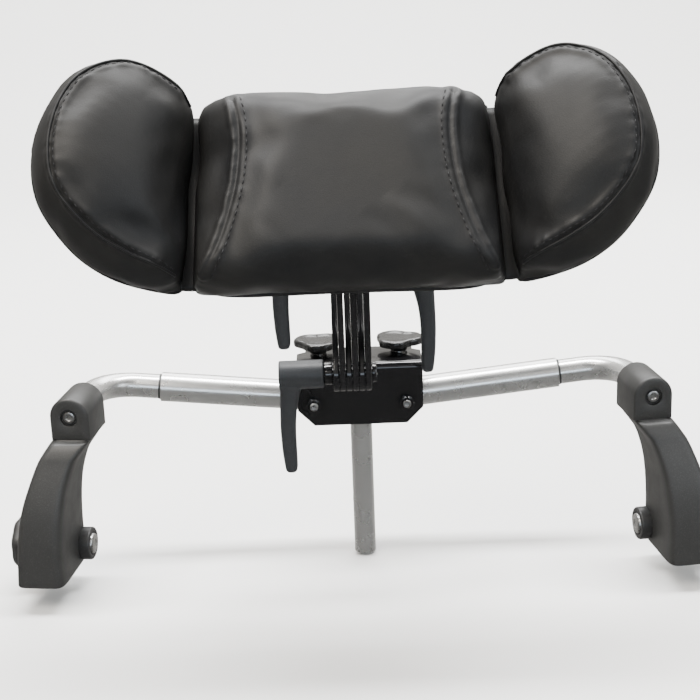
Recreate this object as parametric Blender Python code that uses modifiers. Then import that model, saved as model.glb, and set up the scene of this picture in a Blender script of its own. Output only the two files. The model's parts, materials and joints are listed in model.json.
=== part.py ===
"""Chair headrest attachment.

A three-part padded headrest hangs on a three-pivot clamp linkage. The linkage sits on a
height-adjustable stem, and a pressed-steel bracket clamps the stem to a shallow V-shaped
telescopic crossbar. A moulded arm at each end of the crossbar goes on a chair's back tube.

Frame: metres, +Z up along the stem, +X along the crossbar, the pad faces -Y. The origin is
on the outer face of the bracket's rear plate, level with the middle of the crossbar.

Sizes below are in millimetres and degrees; the mesh helpers turn them into metres.
"""
import math

import bmesh
import bpy
from mathutils import Matrix, Vector

MM = 0.001
GAP = 0.3                   # clearance between neighbours that touch on the real object
FACETS = 16                 # sides of a small round piece

# ---- crossbar -------------------------------------------------------------------------------
BAR_RADIUS = 11.0
BAR_WALL = 1.5
BAR_Y = -15.0
BAR_HALF = 149.0            # half length of the centre tube
BAR_SLOPE = 0.104           # rise of each half of the V
BAR_BEND = 15.0             # softness of the V's bend
END_RADIUS = 9.15
END_WALL = 1.3
END_INNER_X = 98.0          # where the end tube stops inside the centre tube
END_BEND_RADIUS = 32.0

# ---- end arms -------------------------------------------------------------------------------
ARM_X = 204.5               # middle of the arm's front cap
ARM_Y = -95.0
ARM_YAW = 7.5               # each arm splays outwards towards the front
BOSS_RADIUS = 14.0
BOSS_LENGTH = 40.0
BOSS_WALL = 4.5             # what is left of the cap in front of the end tube
BOSS_DROP = 17.0            # straight cheeks of the boss below its round top
ARM_DROP = 118.0            # cap centre down to the flat foot
# height below the cap centre, sideways offset, half width, front, rear
ARM_STATIONS = (
    (8.0, 0.0, 11.5, 2.0, 37.0),
    (15.5, 0.4, 13.2, 0.8, 38.4),
    (19.0, 2.2, 13.8, -4.5, 38.0),
    (33.0, 11.0, 13.7, -11.0, 35.5),
    (48.0, 16.0, 14.3, -17.0, 33.5),
    (66.0, 20.0, 15.8, -22.5, 33.0),
    (90.0, 22.6, 16.8, -26.5, 34.5),
    (ARM_DROP, 23.6, 17.9, -28.0, 36.0),
)
SOCKET_RADIUS = 10.0        # takes the chair's back tube
SOCKET_DEPTH = 56.0
SOCKET_X = 22.5
SOCKET_Y = -5.0
PIVOT_Y = 23.0
PIVOT_DROP = 105.0
PIVOT_RADIUS = 4.0
RING_RADIUS = 12.0
RING_SEAT_X = 8.0           # flat seat milled into the arm's inner face
HAND_KNOB_RADIUS = 20.5
HAND_KNOB_SEAT_X = 41.8

# ---- bracket --------------------------------------------------------------------------------
PLATE = 3.0
BRACKET_HALF = 46.0
BRACKET_TOP = 36.2
BRACKET_BOTTOM = -10.5
BRACKET_FRONT = -47.0
REAR_HALF = 40.0
LIP_BOTTOM = -17.0
LIP_FRONT = -22.0
CORNER_CUT = 12.5
BEND_GAP = 1.2              # keeps a block out of the sheet's inner bend
GUIDE_HALF = 13.0
GUIDE_BACK = -28.0
GUIDE_BOTTOM = -9.0
SADDLE_HALF = 22.0
SADDLE_FRONT = -24.0
SADDLE_TOP = -5.0
KNOB_X = 30.0
KNOB_Y = -16.5
STUD_RADIUS = 3.0
SET_SCREW_X = 34.0
SET_SCREW_Z = 5.5
SET_SCREW_RADIUS = 3.0
NUT_RADIUS = 5.8
STAR_RADIUS = 17.0
STAR_TOP = 47.5

# ---- stem -----------------------------------------------------------------------------------
STEM_RADIUS = 8.0
STEM_WALL = 1.5
STEM_Y = -34.4
STEM_BOTTOM = -116.5
STEM_TOP = 88.0

# ---- linkage: pivots as (y, z) ---------------------------------------------------------------
STEM_PIVOT = (-60.0, 104.0)
KNEE_PIVOT = (-95.0, 44.5)
PAD_PIVOT = (-117.0, 141.5)
STACK_X = -5.2              # middle of the six interleaved plates
PITCH = 4.48
LINK_PLATE = 4.1
LINK_END = 13.0             # radius of the plates' rounded ends
BOLT_RADIUS = 4.0
BOLT_HOLE = 4.35
BANANA_BULGE = 8.0

# ---- clamp levers, along the bolt from the stack's outer face ---------------------------------
COLLAR_RADIUS = 8.0
COLLAR_TOP = 6.0
HUB_RADIUS = 10.0
HUB_TOP = 37.5
HUB_BORE = 6.6
WEB_LOW = 22.0
WEB_HIGH = 25.0
STEM_COLLAR = 9.0           # the stem lever's longer collar
# distance from the bolt, inner edge, outer edge, half depth of the lever's arm
LEVER_STATIONS = (
    (0.0, 20.0, 37.4, 8.2),
    (12.0, 23.0, 37.5, 7.4),
    (25.0, 26.0, 38.0, 6.2),
    (40.0, 27.3, 38.3, 5.5),
    (56.0, 27.3, 37.6, 5.2),
    (69.0, 27.2, 36.4, 5.0),
    (71.5, 28.4, 35.2, 3.9),
)

# ---- pad ------------------------------------------------------------------------------------
PAD_X = -5.0
PAD_TILT = 27.0             # the face leans back from the stem
PAD_THICK = 50.0
PAD_FACE_Y = -187.0         # middle of the centre cushion's face
PAD_FACE_Z = 194.5
CENTER_HALF_HIGH = 56.0
CENTER_HALF_WIDE = 89.5
CENTER_CORNER = 16.0
CENTER_TAPER = 0.09         # the centre cushion is wider at the bottom
WING_TOE = 22.0
WING_CREASE_X = 92.0
WING_LEAN = 0.20            # the wing's inner side follows the centre cushion's side
COVER_WALL = 1.6
EDGE_ROUND = 18.0
# the wing's outline from its top inner corner round to its bottom inner corner
WING_OUTLINE = (
    (1.5, 50.0), (12.0, 64.0), (28.0, 74.0), (50.0, 79.0), (79.0, 63.0), (93.0, 27.0),
    (85.0, -9.0), (54.0, -41.0), (22.0, -54.0), (1.5, -56.0),
)
BACK_PLATE = 3.0
HINGE_X = 98.0
HINGE_N = -5.0
KNUCKLE_RADIUS = 4.2
KNUCKLE_HALF = 11.0
HINGE_PIN_RADIUS = 2.0
HINGE_PIN_HALF = 35.0
WING_TAB = 34.0             # how far the wing's hinge tab reaches under its plate
FORK_BASE = 3.0
FORK_BACK = -GAP - BACK_PLATE - GAP - FORK_BASE
FORK_HALF = 25.0
FORK_RIM = 7.0              # from the screw rows to the base plate's edges
FORK_SCREW_X = 19.0
FORK_SCREW_ROWS = (-26.0, 4.0)


# ---- scene and helpers ------------------------------------------------------------------------
def clear_scene():
    for obj in list(bpy.data.objects):
        bpy.data.objects.remove(obj, do_unlink=True)


def collection(name):
    made = bpy.data.collections.new(name)
    bpy.context.scene.collection.children.link(made)
    return made


def material(name, color, roughness, metallic=0.0):
    made = bpy.data.materials.new(name)
    made.use_nodes = True
    shader = made.node_tree.nodes["Principled BSDF"]
    shader.inputs["Base Color"].default_value = (*color, 1.0)
    shader.inputs["Roughness"].default_value = roughness
    shader.inputs["Metallic"].default_value = metallic
    return made


def empty(name, location, parent=None, rotation=(0, 0, 0)):
    """A reference frame; rotation is in degrees."""
    made = bpy.data.objects.new(name, None)
    made.empty_display_size = 0.02
    made.location = Vector(location) * MM
    made.rotation_euler = [math.radians(a) for a in rotation]
    made.parent = parent
    PART.objects.link(made)
    return made


def place(obj, parent, location=(0, 0, 0), rotation=(0, 0, 0)):
    obj.location = Vector(location) * MM
    obj.rotation_euler = [math.radians(a) for a in rotation]
    obj.parent = parent
    PART.objects.link(obj)
    return obj


def mesh_object(name, bm, mat):
    """Closes a bmesh built in millimetres into an object with outward faces."""
    bmesh.ops.scale(bm, vec=(MM, MM, MM), verts=bm.verts)
    bmesh.ops.recalc_face_normals(bm, faces=bm.faces)
    mesh = bpy.data.meshes.new(name)
    bm.to_mesh(mesh)
    bm.free()
    mesh.materials.append(mat)
    mesh.shade_smooth()
    mesh.set_sharp_from_angle(angle=math.radians(35))
    return bpy.data.objects.new(name, mesh)


def box(name, low, high, mat, parent, round_edge=0.0, **spot):
    bm = bmesh.new()
    size = [h - l for l, h in zip(low, high)]
    middle = [(l + h) / 2 for l, h in zip(low, high)]
    bmesh.ops.create_cube(bm, size=1.0, matrix=Matrix.Translation(middle) @ Matrix.Diagonal((*size, 1.0)))
    obj = place(mesh_object(name, bm, mat), parent, **spot)
    if round_edge:
        bevel(obj, round_edge)
    return obj


def bevel(obj, width, segments=2, angle=40):
    mod = obj.modifiers.new("Rounded edges", "BEVEL")
    mod.width = width * MM
    mod.segments = segments
    mod.limit_method = "ANGLE"
    mod.angle_limit = math.radians(angle)
    return obj


def loft(name, rings, mat, parent, **spot):
    """A closed solid through equal rings of points, with flat ends."""
    bm = bmesh.new()
    layers = [[bm.verts.new(point) for point in ring] for ring in rings]
    count = len(layers[0])
    for lower, upper in zip(layers, layers[1:]):
        for i in range(count):
            j = (i + 1) % count
            bm.faces.new((lower[i], lower[j], upper[j], upper[i]))
    bm.faces.new(layers[0][::-1])
    bm.faces.new(layers[-1])
    return place(mesh_object(name, bm, mat), parent, **spot)


def turned(name, profile, mat, parent, ring=False, steps=FACETS, **spot):
    """A Screw of an (r, z) profile that runs down its outer side; a ring's profile closes."""
    mesh = bpy.data.meshes.new(name)
    count = len(profile)
    edges = [(i, i + 1) for i in range(count - 1)] + ([(count - 1, 0)] if ring else [])
    mesh.from_pydata([(r * MM, 0, z * MM) for r, z in profile], edges, [])
    mesh.materials.append(mat)
    obj = place(bpy.data.objects.new(name, mesh), parent, **spot)
    screw = obj.modifiers.new("Turn", "SCREW")
    screw.axis = "Z"
    screw.steps = steps
    screw.render_steps = steps
    screw.use_merge_vertices = True
    screw.merge_threshold = 0.00001
    screw.use_smooth_shade = False
    return obj


def bar(name, radius, low, high, mat, parent, steps=FACETS, **spot):
    return turned(name, [(0, high), (radius, high), (radius, low), (0, low)], mat, parent,
                  steps=steps, **spot)


def washer(name, outer, inner, low, high, mat, parent, steps=FACETS, **spot):
    return turned(name, [(outer, high), (outer, low), (inner, low), (inner, high)], mat, parent,
                  ring=True, steps=steps, **spot)


def hex_rings(radius, low, high):
    corners = [Vector((radius * math.cos(a), radius * math.sin(a), 0))
               for a in (math.radians(60 * i + 30) for i in range(6))]
    return [[c + Vector((0, 0, z)) for c in corners] for z in (low, high)]


def flat_plate(name, outline, holes, thickness, mat, parent, **spot):
    """A 2D curve in local XY, extruded half its thickness each way, made a mesh."""
    curve = bpy.data.curves.new(name, "CURVE")
    curve.dimensions = "2D"
    curve.fill_mode = "BOTH"
    curve.extrude = thickness / 2 * MM
    loops = [outline] + [circle(*hole) for hole in holes]
    for loop in loops:
        spline = curve.splines.new("POLY")
        spline.points.add(len(loop) - 1)
        for point, (x, y) in zip(spline.points, loop):
            point.co = (x * MM, y * MM, 0, 1)
        spline.use_cyclic_u = True
    curve.materials.append(mat)
    return place(curve_to_solid(name, curve), parent, **spot)


def curve_to_solid(name, curve):
    """Evaluates a curve, welds its caps and returns a mesh object."""
    guide = bpy.data.objects.new(name + "_path", curve)
    bpy.context.scene.collection.objects.link(guide)
    graph = bpy.context.evaluated_depsgraph_get()
    mesh = bpy.data.meshes.new_from_object(guide.evaluated_get(graph))
    bpy.data.objects.remove(guide, do_unlink=True)
    bm = bmesh.new()
    bm.from_mesh(mesh)
    bmesh.ops.remove_doubles(bm, verts=bm.verts, dist=0.00001)
    bmesh.ops.recalc_face_normals(bm, faces=bm.faces)
    bm.to_mesh(mesh)
    bm.free()
    mesh.name = name
    return bpy.data.objects.new(name, mesh)


def circle(x, y, radius, count=FACETS):
    turns = [2 * math.pi * i / count for i in range(count)]
    return [(x + radius * math.cos(a), y + radius * math.sin(a)) for a in turns]


def arc(x, y, radius, start, end, count=8):
    """Points of an arc, angles in degrees."""
    angles = [math.radians(start + (end - start) * i / count) for i in range(count + 1)]
    return [(x + radius * math.cos(a), y + radius * math.sin(a)) for a in angles]


def path_curve(name, points, radius, resolution, capped):
    curve = bpy.data.curves.new(name, "CURVE")
    curve.dimensions = "3D"
    curve.bevel_depth = radius * MM
    curve.bevel_resolution = resolution
    curve.use_fill_caps = capped
    spline = curve.splines.new("POLY")
    spline.points.add(len(points) - 1)
    for point, co in zip(spline.points, points):
        point.co = (*(Vector(co) * MM), 1)
    return curve


def tube(name, points, radius, wall, mat, parent, **spot):
    """An open pipe along a path, its wall grown inwards."""
    curve = path_curve(name, points, radius, 3, False)
    curve.materials.append(mat)
    obj = place(curve_to_solid(name, curve), parent, **spot)
    obj.data.shade_smooth()
    shell = obj.modifiers.new("Wall", "SOLIDIFY")
    shell.thickness = wall * MM
    shell.offset = -1.0
    return obj


def repeat(obj, count, step):
    """Repeats a solid along a local step, for a group that a union then joins to one piece."""
    mod = obj.modifiers.new("Repeat", "ARRAY")
    mod.count = count
    mod.use_relative_offset = False
    mod.use_constant_offset = True
    mod.constant_offset_displace = Vector(step) * MM
    return obj


def boolean(obj, other, operation="DIFFERENCE", solver="EXACT"):
    """Cuts obj by, or joins it to, another solid, which stays as a hidden guide."""
    mod = obj.modifiers.new(other.name, "BOOLEAN")
    mod.object = other
    mod.operation = operation
    mod.solver = solver
    for owner in list(other.users_collection):
        owner.objects.unlink(other)
    CUTTERS.objects.link(other)
    other.hide_render = True
    other.display_type = "WIRE"
    return obj


def smooth_path(points, spans):
    """A Catmull-Rom curve through the points from the first to the last, as a list of (x, y)."""
    ends = [points[0], *points, points[-1]]
    path = []
    for i in range(len(points) - 1):
        p0, p1, p2, p3 = (Vector(p) for p in ends[i:i + 4])
        for step in range(spans):
            t = step / spans
            path.append(0.5 * (2 * p1 + (p2 - p0) * t + (2 * p0 - 5 * p1 + 4 * p2 - p3) * t ** 2
                               + (3 * p1 - p0 - 3 * p2 + p3) * t ** 3))
    path.append(Vector(points[-1]))
    return [(p.x, p.y) for p in path]


def rounded_section(half_x, half_y, count=16, power=4.0):
    """A superellipse: a rectangle with well rounded corners."""
    points = []
    for i in range(count):
        a = 2 * math.pi * (i + 0.5) / count
        c, s = math.cos(a), math.sin(a)
        points.append((half_x * math.copysign(abs(c) ** (2 / power), c),
                       half_y * math.copysign(abs(s) ** (2 / power), s)))
    return points


def fillet(start, corner, end, radius, steps=9):
    """A path from start to end whose corner is an arc."""
    start, corner, end = Vector(start), Vector(corner), Vector(end)
    back, ahead = (start - corner).normalized(), (end - corner).normalized()
    half = back.angle(ahead) / 2
    reach = radius / math.tan(half)
    center = corner + (back + ahead).normalized() * (radius / math.sin(half))
    first, last = corner + back * reach - center, corner + ahead * reach - center
    turn = first.angle(last)
    points = [start]
    for i in range(steps + 1):
        t = i / steps
        blend = first * math.sin((1 - t) * turn) + last * math.sin(t * turn)
        points.append(center + blend / math.sin(turn))
    return points + [end]


def side_name(side):
    return "left" if side < 0 else "right"


# ---- crossbar -----------------------------------------------------------------------------------
def bar_height(x):
    """Height of the crossbar's axis: a V with a soft bend in the middle."""
    return BAR_SLOPE * (math.hypot(x, BAR_BEND) - BAR_BEND)


def bar_path(half, count):
    across = [half * (2 * i / count - 1) for i in range(count + 1)]
    return [(x, BAR_Y, bar_height(x)) for x in across]


def build_crossbar():
    tube("crossbar_tube", bar_path(BAR_HALF, 10), BAR_RADIUS, BAR_WALL, MATERIALS["aluminium"], ROOT)


def end_slope():
    """Rise of the crossbar over the stretch that holds an end tube."""
    return (bar_height(BAR_HALF) - bar_height(END_INNER_X)) / (BAR_HALF - END_INNER_X)


def end_corner(side):
    """Where an end tube's two straight stretches would meet."""
    x = ARM_X + (ARM_Y - BAR_Y) * math.tan(math.radians(ARM_YAW))
    return Vector((side * x, BAR_Y, bar_height(END_INNER_X) + end_slope() * (x - END_INNER_X)))


def arm_direction(side):
    """Unit vector along an end tube's last stretch, towards the front."""
    yaw = math.radians(ARM_YAW)
    return Vector((side * math.sin(yaw), -math.cos(yaw), 0))


def build_end_tube(side):
    name = side_name(side) + "_end"
    ahead = arm_direction(side)
    corner = end_corner(side)
    cap = corner + ahead * ((ARM_Y - BAR_Y) / ahead.y)
    start = Vector((side * END_INNER_X, BAR_Y, bar_height(END_INNER_X)))
    finish = cap - ahead * BOSS_WALL
    frame = empty(name + "_slide", start, ROOT)
    path = [p - start for p in fillet(start, corner, finish, END_BEND_RADIUS)]
    tube(name + "_tube", path, END_RADIUS, END_WALL, MATERIALS["aluminium"], frame)
    turn = (0, 0, side * ARM_YAW)
    build_arm(side, empty(side_name(side) + "_arm_frame", cap - start, frame, rotation=turn))


# ---- end arms: local x outwards (times side), y back along the boss, z up --------------------------
def arm_ring(side, station):
    drop, offset, half, front, rear = station
    section = rounded_section(half, (rear - front) / 2, power=6.0)
    return [Vector((side * (offset + x), (front + rear) / 2 + y, -drop)) for x, y in section]


def build_arm(side, frame):
    name = side_name(side)
    plastic = MATERIALS["arm_plastic"]
    arm = loft(name + "_arm", [arm_ring(side, s) for s in ARM_STATIONS], plastic, frame)
    outline = arc(0, 0, BOSS_RADIUS, 0, 180, 16)
    outline += [(-BOSS_RADIUS, -BOSS_DROP), (BOSS_RADIUS, -BOSS_DROP)]
    boss = flat_plate(name + "_boss", outline, [], BOSS_LENGTH, plastic, frame,
                      location=(0, BOSS_LENGTH / 2, 0), rotation=(90, 0, 0))
    boolean(arm, boss, "UNION")
    for label, radius, low, high in (("tube_bore", END_RADIUS + GAP, 4.0, BOSS_LENGTH + 5),
                                     ("screw_bore", 3.0, -5.0, 6.0), ("screw_recess", 6.0, -10.0, 2.5)):
        boolean(arm, bar(f"{name}_{label}", radius, low, high, plastic, frame, rotation=(-90, 0, 0)))
    socket = bar(name + "_socket", SOCKET_RADIUS, -ARM_DROP - 5, SOCKET_DEPTH - ARM_DROP, plastic, frame,
                 location=(side * SOCKET_X, SOCKET_Y, 0))
    boolean(arm, socket)
    pivot = (0, PIVOT_Y, -PIVOT_DROP)
    across = (0, 90 * side, 0)
    boolean(arm, bar(name + "_pivot_bore", PIVOT_RADIUS + GAP, -20, 60, plastic, frame,
                     location=pivot, rotation=across))
    boolean(arm, bar(name + "_ring_seat", RING_RADIUS + GAP, -20, RING_SEAT_X, plastic, frame,
                     location=pivot, rotation=across))
    build_arm_screw(name, frame)
    build_arm_pivot(name, frame, pivot, across)


def build_arm_screw(name, frame):
    """A screw through the cap into a plug inside the end tube."""
    zinc = MATERIALS["zinc"]
    profile = [(0, 32), (2.6, 32), (2.6, 2.2), (5.2, 2.2), (5.2, 0.4), (4.2, -1.2), (0, -1.2)]
    screw = turned(name + "_arm_screw", profile, zinc, frame, rotation=(-90, 0, 0))
    socket = loft(name + "_arm_screw_socket", hex_rings(2.3, -3, 1.0), zinc, frame, rotation=(-90, 0, 0))
    boolean(screw, socket)


def build_arm_pivot(name, frame, pivot, across):
    seat = RING_SEAT_X - GAP
    tip = HAND_KNOB_SEAT_X + 9
    washer(name + "_pivot_ring", RING_RADIUS, 8.0, -2.0, seat, MATERIALS["black_plastic"], frame,
           location=pivot, rotation=across)
    profile = [(0, tip), (PIVOT_RADIUS, tip), (PIVOT_RADIUS, seat), (7.5, seat), (7.5, -2.2), (6.5, -3.2),
               (0, -3.2)]
    turned(name + "_pivot_bolt", profile, MATERIALS["zinc"], frame, location=pivot, rotation=across)
    knob_frame = empty(name + "_hand_knob_axis", pivot, frame, rotation=across)
    build_hand_knob(name, knob_frame)


def build_hand_knob(name, frame):
    """A round clamping knob with shallow finger flutes and a blind bore."""
    low = HAND_KNOB_SEAT_X + GAP
    rings = []
    for height, shrink in ((0, 6.0), (3.0, 0.4), (9.0, 0), (12.5, 4.0)):
        ring = []
        for i in range(32):
            a = 2 * math.pi * i / 32
            radius = (HAND_KNOB_RADIUS - shrink) * (1 - 0.025 * (1 + math.cos(8 * a)))
            ring.append(Vector((radius * math.cos(a), radius * math.sin(a), low + height)))
        rings.append(ring)
    plastic = MATERIALS["arm_plastic"]
    knob = loft(name + "_hand_knob", rings, plastic, frame)
    boolean(knob, bar(name + "_hand_knob_bore", PIVOT_RADIUS + GAP, low - 2, low + 9.2, plastic, frame))


# ---- bracket ------------------------------------------------------------------------------------
def build_bracket():
    steel = MATERIALS["black_paint"]
    half = PLATE / 2
    front, top, rear, lip = BRACKET_FRONT + half, BRACKET_TOP - half, -half, LIP_BOTTOM + half
    profile = [(front, BRACKET_BOTTOM), (front, top), (rear, top), (rear, lip), (LIP_FRONT, lip)]
    mesh = bpy.data.meshes.new("bracket_body")
    count = len(profile)
    verts = [(x * BRACKET_HALF * MM, y * MM, z * MM) for x in (-1, 1) for y, z in profile]
    mesh.from_pydata(verts, [], [(i, i + 1, count + i + 1, count + i) for i in range(count - 1)])
    mesh.materials.append(steel)
    body = place(bpy.data.objects.new("bracket_body", mesh), ROOT)
    bend = body.modifiers.new("Bends", "BEVEL")
    bend.width = 2.6 * MM
    bend.segments = 3
    shell = body.modifiers.new("Sheet", "SOLIDIFY")
    shell.thickness = PLATE * MM
    shell.offset = 0.0
    shell.use_even_offset = True
    cut_bracket(body, steel)


def cut_bracket(body, steel):
    for side in (-1, 1):
        name = side_name(side)
        half = Vector((CORNER_CUT, 10, CORNER_CUT))
        corner = box(name + "_corner_cut", -half, half, steel, ROOT, rotation=(0, 45, 0),
                     location=(side * (BRACKET_HALF + 4), BRACKET_FRONT, BRACKET_BOTTOM - 5.5))
        boolean(body, corner)
        rear_trim = box(name + "_rear_trim", (0, -30, -40), (30, 10, 10), steel, ROOT,
                        location=(side * REAR_HALF - (30 if side < 0 else 0), 0, BRACKET_TOP - 16))
        boolean(body, rear_trim)
        stud = bar(name + "_stud_hole", STUD_RADIUS + 0.5, 20, 50, steel, ROOT,
                   location=(side * KNOB_X, KNOB_Y, 0))
        boolean(body, stud)
        screw = bar(name + "_screw_hole", SET_SCREW_RADIUS + 0.4, -10, 10, steel, ROOT,
                    location=(side * SET_SCREW_X, BRACKET_FRONT, SET_SCREW_Z), rotation=(90, 0, 0))
        boolean(body, screw)
    stem = bar("stem_hole", STEM_RADIUS + 0.6, 20, 50, steel, ROOT, steps=40, location=(0, STEM_Y, 0))
    boolean(body, stem)


def build_stem_guide():
    """A block welded inside the front plate; the stem runs in it and bears on the crossbar."""
    steel = MATERIALS["black_paint"]
    low = (-GUIDE_HALF, BRACKET_FRONT + PLATE + GAP, GUIDE_BOTTOM)
    high = (GUIDE_HALF, GUIDE_BACK, BRACKET_TOP - PLATE - BEND_GAP)
    guide = box("stem_guide", low, high, steel, ROOT)
    bore = bar("stem_bore", STEM_RADIUS + GAP, -20, 50, steel, ROOT, steps=40, location=(0, STEM_Y, 0))
    boolean(guide, bore)


def build_saddle():
    """The seat that holds the crossbar from below and behind."""
    steel = MATERIALS["black_paint"]
    low = (-SADDLE_HALF, SADDLE_FRONT, LIP_BOTTOM + PLATE + GAP)
    high = (SADDLE_HALF, -PLATE - BEND_GAP, SADDLE_TOP)
    saddle = box("crossbar_saddle", low, high, steel, ROOT)
    groove = bar("saddle_groove", BAR_RADIUS + GAP, -30, 30, steel, ROOT, steps=40,
                 location=(0, BAR_Y, 0), rotation=(0, 90, 0))
    boolean(saddle, groove)


def star_ring(radius, height, lobe):
    ring = []
    for i in range(30):
        a = 2 * math.pi * i / 30
        r = radius * (1 + lobe * math.cos(3 * a))
        ring.append(Vector((r * math.cos(a), r * math.sin(a), height)))
    return ring


def build_knob(side):
    """A three-lobed knob on a stud that presses a shoe down on the crossbar."""
    name = side_name(side)
    frame = empty(name + "_knob_axis", (side * KNOB_X, KNOB_Y, 0), ROOT)
    gloss, steel, zinc = MATERIALS["gloss_plastic"], MATERIALS["black_paint"], MATERIALS["zinc"]
    rings = [star_ring(5.5, BRACKET_TOP + GAP, 0), star_ring(5.5, 38.5, 0), star_ring(10.5, 41.0, 0.06),
             star_ring(STAR_RADIUS, 42.0, 0.11), star_ring(STAR_RADIUS, STAR_TOP - 1.2, 0.11),
             star_ring(STAR_RADIUS - 1.6, STAR_TOP, 0.11)]
    knob = loft(name + "_star_knob", rings, gloss, frame)
    boolean(knob, bar(name + "_star_bore", STUD_RADIUS + GAP, 30, 44.5, gloss, frame))
    bar(name + "_stud", STUD_RADIUS, 21.0, 44.0, zinc, frame)
    shoe = box(name + "_clamp_shoe", (-9, -8, 11), (9, 11, 20.6), zinc, frame, round_edge=0.8)
    curve = path_curve(name + "_shoe_groove", bar_path(70, 8), BAR_RADIUS + GAP, 3, True)
    groove = place(curve_to_solid(name + "_shoe_groove", curve), ROOT)
    boolean(shoe, groove)


def build_set_screw(side):
    """A socket screw with a lock nut that steadies the crossbar from the front."""
    name = side_name(side)
    spot = (side * SET_SCREW_X, BRACKET_FRONT, SET_SCREW_Z)
    frame = empty(name + "_set_screw_axis", spot, ROOT, rotation=(90, 0, 0))
    zinc = MATERIALS["zinc"]
    screw = bar(name + "_set_screw", SET_SCREW_RADIUS, BRACKET_FRONT + 26.4, 5.6, zinc, frame)
    boolean(screw, loft(name + "_set_screw_socket", hex_rings(1.75, 2.4, 8), zinc, frame))
    nut = loft(name + "_lock_nut", hex_rings(NUT_RADIUS, GAP, 4.2), MATERIALS["black_paint"], frame)
    boolean(nut, bar(name + "_lock_nut_hole", SET_SCREW_RADIUS + GAP, -2, 8, zinc, frame))


# ---- stem ---------------------------------------------------------------------------------------
def slot_x(index):
    """Sideways place of one of the six plates in the stack, relative to the stack's middle."""
    return (index - 2.5) * PITCH


def build_stem():
    frame = empty("stem_slide", (0, STEM_Y, 0), ROOT)
    tube("stem_rod", [(0, 0, STEM_BOTTOM), (0, 0, 0), (0, 0, STEM_TOP)], STEM_RADIUS, STEM_WALL,
         MATERIALS["aluminium"], frame)
    inner = STEM_RADIUS - STEM_WALL - 2 * GAP
    bar("stem_end_cap", inner, STEM_BOTTOM + 0.4, STEM_BOTTOM + 12, MATERIALS["black_plastic"], frame)
    build_stem_head(frame, inner)
    return frame


def build_stem_head(frame, inner):
    """A plug in the stem's top with three tongues that reach forward to the first pivot."""
    steel = MATERIALS["black_paint"]
    eye = Vector((STEM_PIVOT[0] - STEM_Y, STEM_PIVOT[1]))
    low, high = STEM_TOP + GAP, STEM_TOP + 5.0
    head = turned("stem_head", [(0, high), (9.5, high), (9.5, low), (inner, low), (inner, STEM_TOP - 22),
                                (0, STEM_TOP - 22)], steel, frame)
    outline = [(9, low), (9, high + 2), *arc(eye.x, eye.y, LINK_END, 55, 235, 8), (-9, low)]
    tongues = three_plates("head_tongues", outline, [(eye.x, eye.y, BOLT_HOLE)], 1, steel, frame, STACK_X)
    boolean(head, tongues, "UNION")
    left, right = slot_x(1) + STACK_X - 1, slot_x(5) + STACK_X + 1
    rail = box("head_rail", (left, -8.5, low), (right, 8.5, high - 0.5), steel, frame)
    boolean(head, rail, "UNION")


def link_plate(name, outline, holes, slot, mat, frame, shift=0.0):
    """A plate whose outline is in (y, z), stood in one slot of the stack."""
    return flat_plate(name, outline, holes, LINK_PLATE, mat, frame, location=(shift + slot_x(slot), 0, 0),
                      rotation=(90, 0, 90))


def three_plates(name, outline, holes, first, mat, frame, shift=0.0):
    """Plates in every other slot of the stack, for a union."""
    return repeat(link_plate(name, outline, holes, first, mat, frame, shift), 3, (0, 0, 2 * PITCH))


# ---- linkage ------------------------------------------------------------------------------------
def build_lower_link(parent):
    """Three straight plates from the stem pivot forward and down to the knee."""
    frame = empty("stem_pivot", (STACK_X, STEM_PIVOT[0] - STEM_Y, STEM_PIVOT[1]), parent)
    knee = Vector(KNEE_PIVOT) - Vector(STEM_PIVOT)
    lean = math.degrees(math.atan2(knee.y, knee.x))
    outline = arc(0, 0, LINK_END, lean + 90, lean + 270)
    outline += arc(knee.x, knee.y, LINK_END, lean - 90, lean + 90)
    for number, slot in enumerate((0, 2, 4), 1):
        link_plate(f"lower_link_plate_{number}", outline, [(0, 0, BOLT_HOLE), (*knee, BOLT_HOLE)], slot,
                   MATERIALS["black_paint"], frame)
    return frame


def build_upper_link(parent):
    """Three curved plates from the knee up to the pad, bulging towards the front."""
    knee = Vector(KNEE_PIVOT) - Vector(STEM_PIVOT)
    frame = empty("knee_pivot", (0, knee.x, knee.y), parent)
    pad = Vector(PAD_PIVOT) - Vector(KNEE_PIVOT)
    along = pad.normalized()
    forward = Vector((-along.y, along.x))
    lean = math.degrees(math.atan2(pad.y, pad.x))
    front, back = [], []
    for i in range(1, 8):
        t = i / 8
        middle = pad * t + forward * BANANA_BULGE * math.sin(math.pi * t)
        front.append(middle + forward * LINK_END)
        back.append(middle - forward * LINK_END)
    outline = (arc(0, 0, LINK_END, lean + 90, lean + 270) + [tuple(p) for p in back]
               + arc(pad.x, pad.y, LINK_END, lean - 90, lean + 90) + [tuple(p) for p in reversed(front)])
    for number, slot in enumerate((1, 3, 5), 1):
        link_plate(f"upper_link_plate_{number}", outline, [(0, 0, BOLT_HOLE), (*pad, BOLT_HOLE)], slot,
                   MATERIALS["black_paint"], frame)
    return frame


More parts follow.
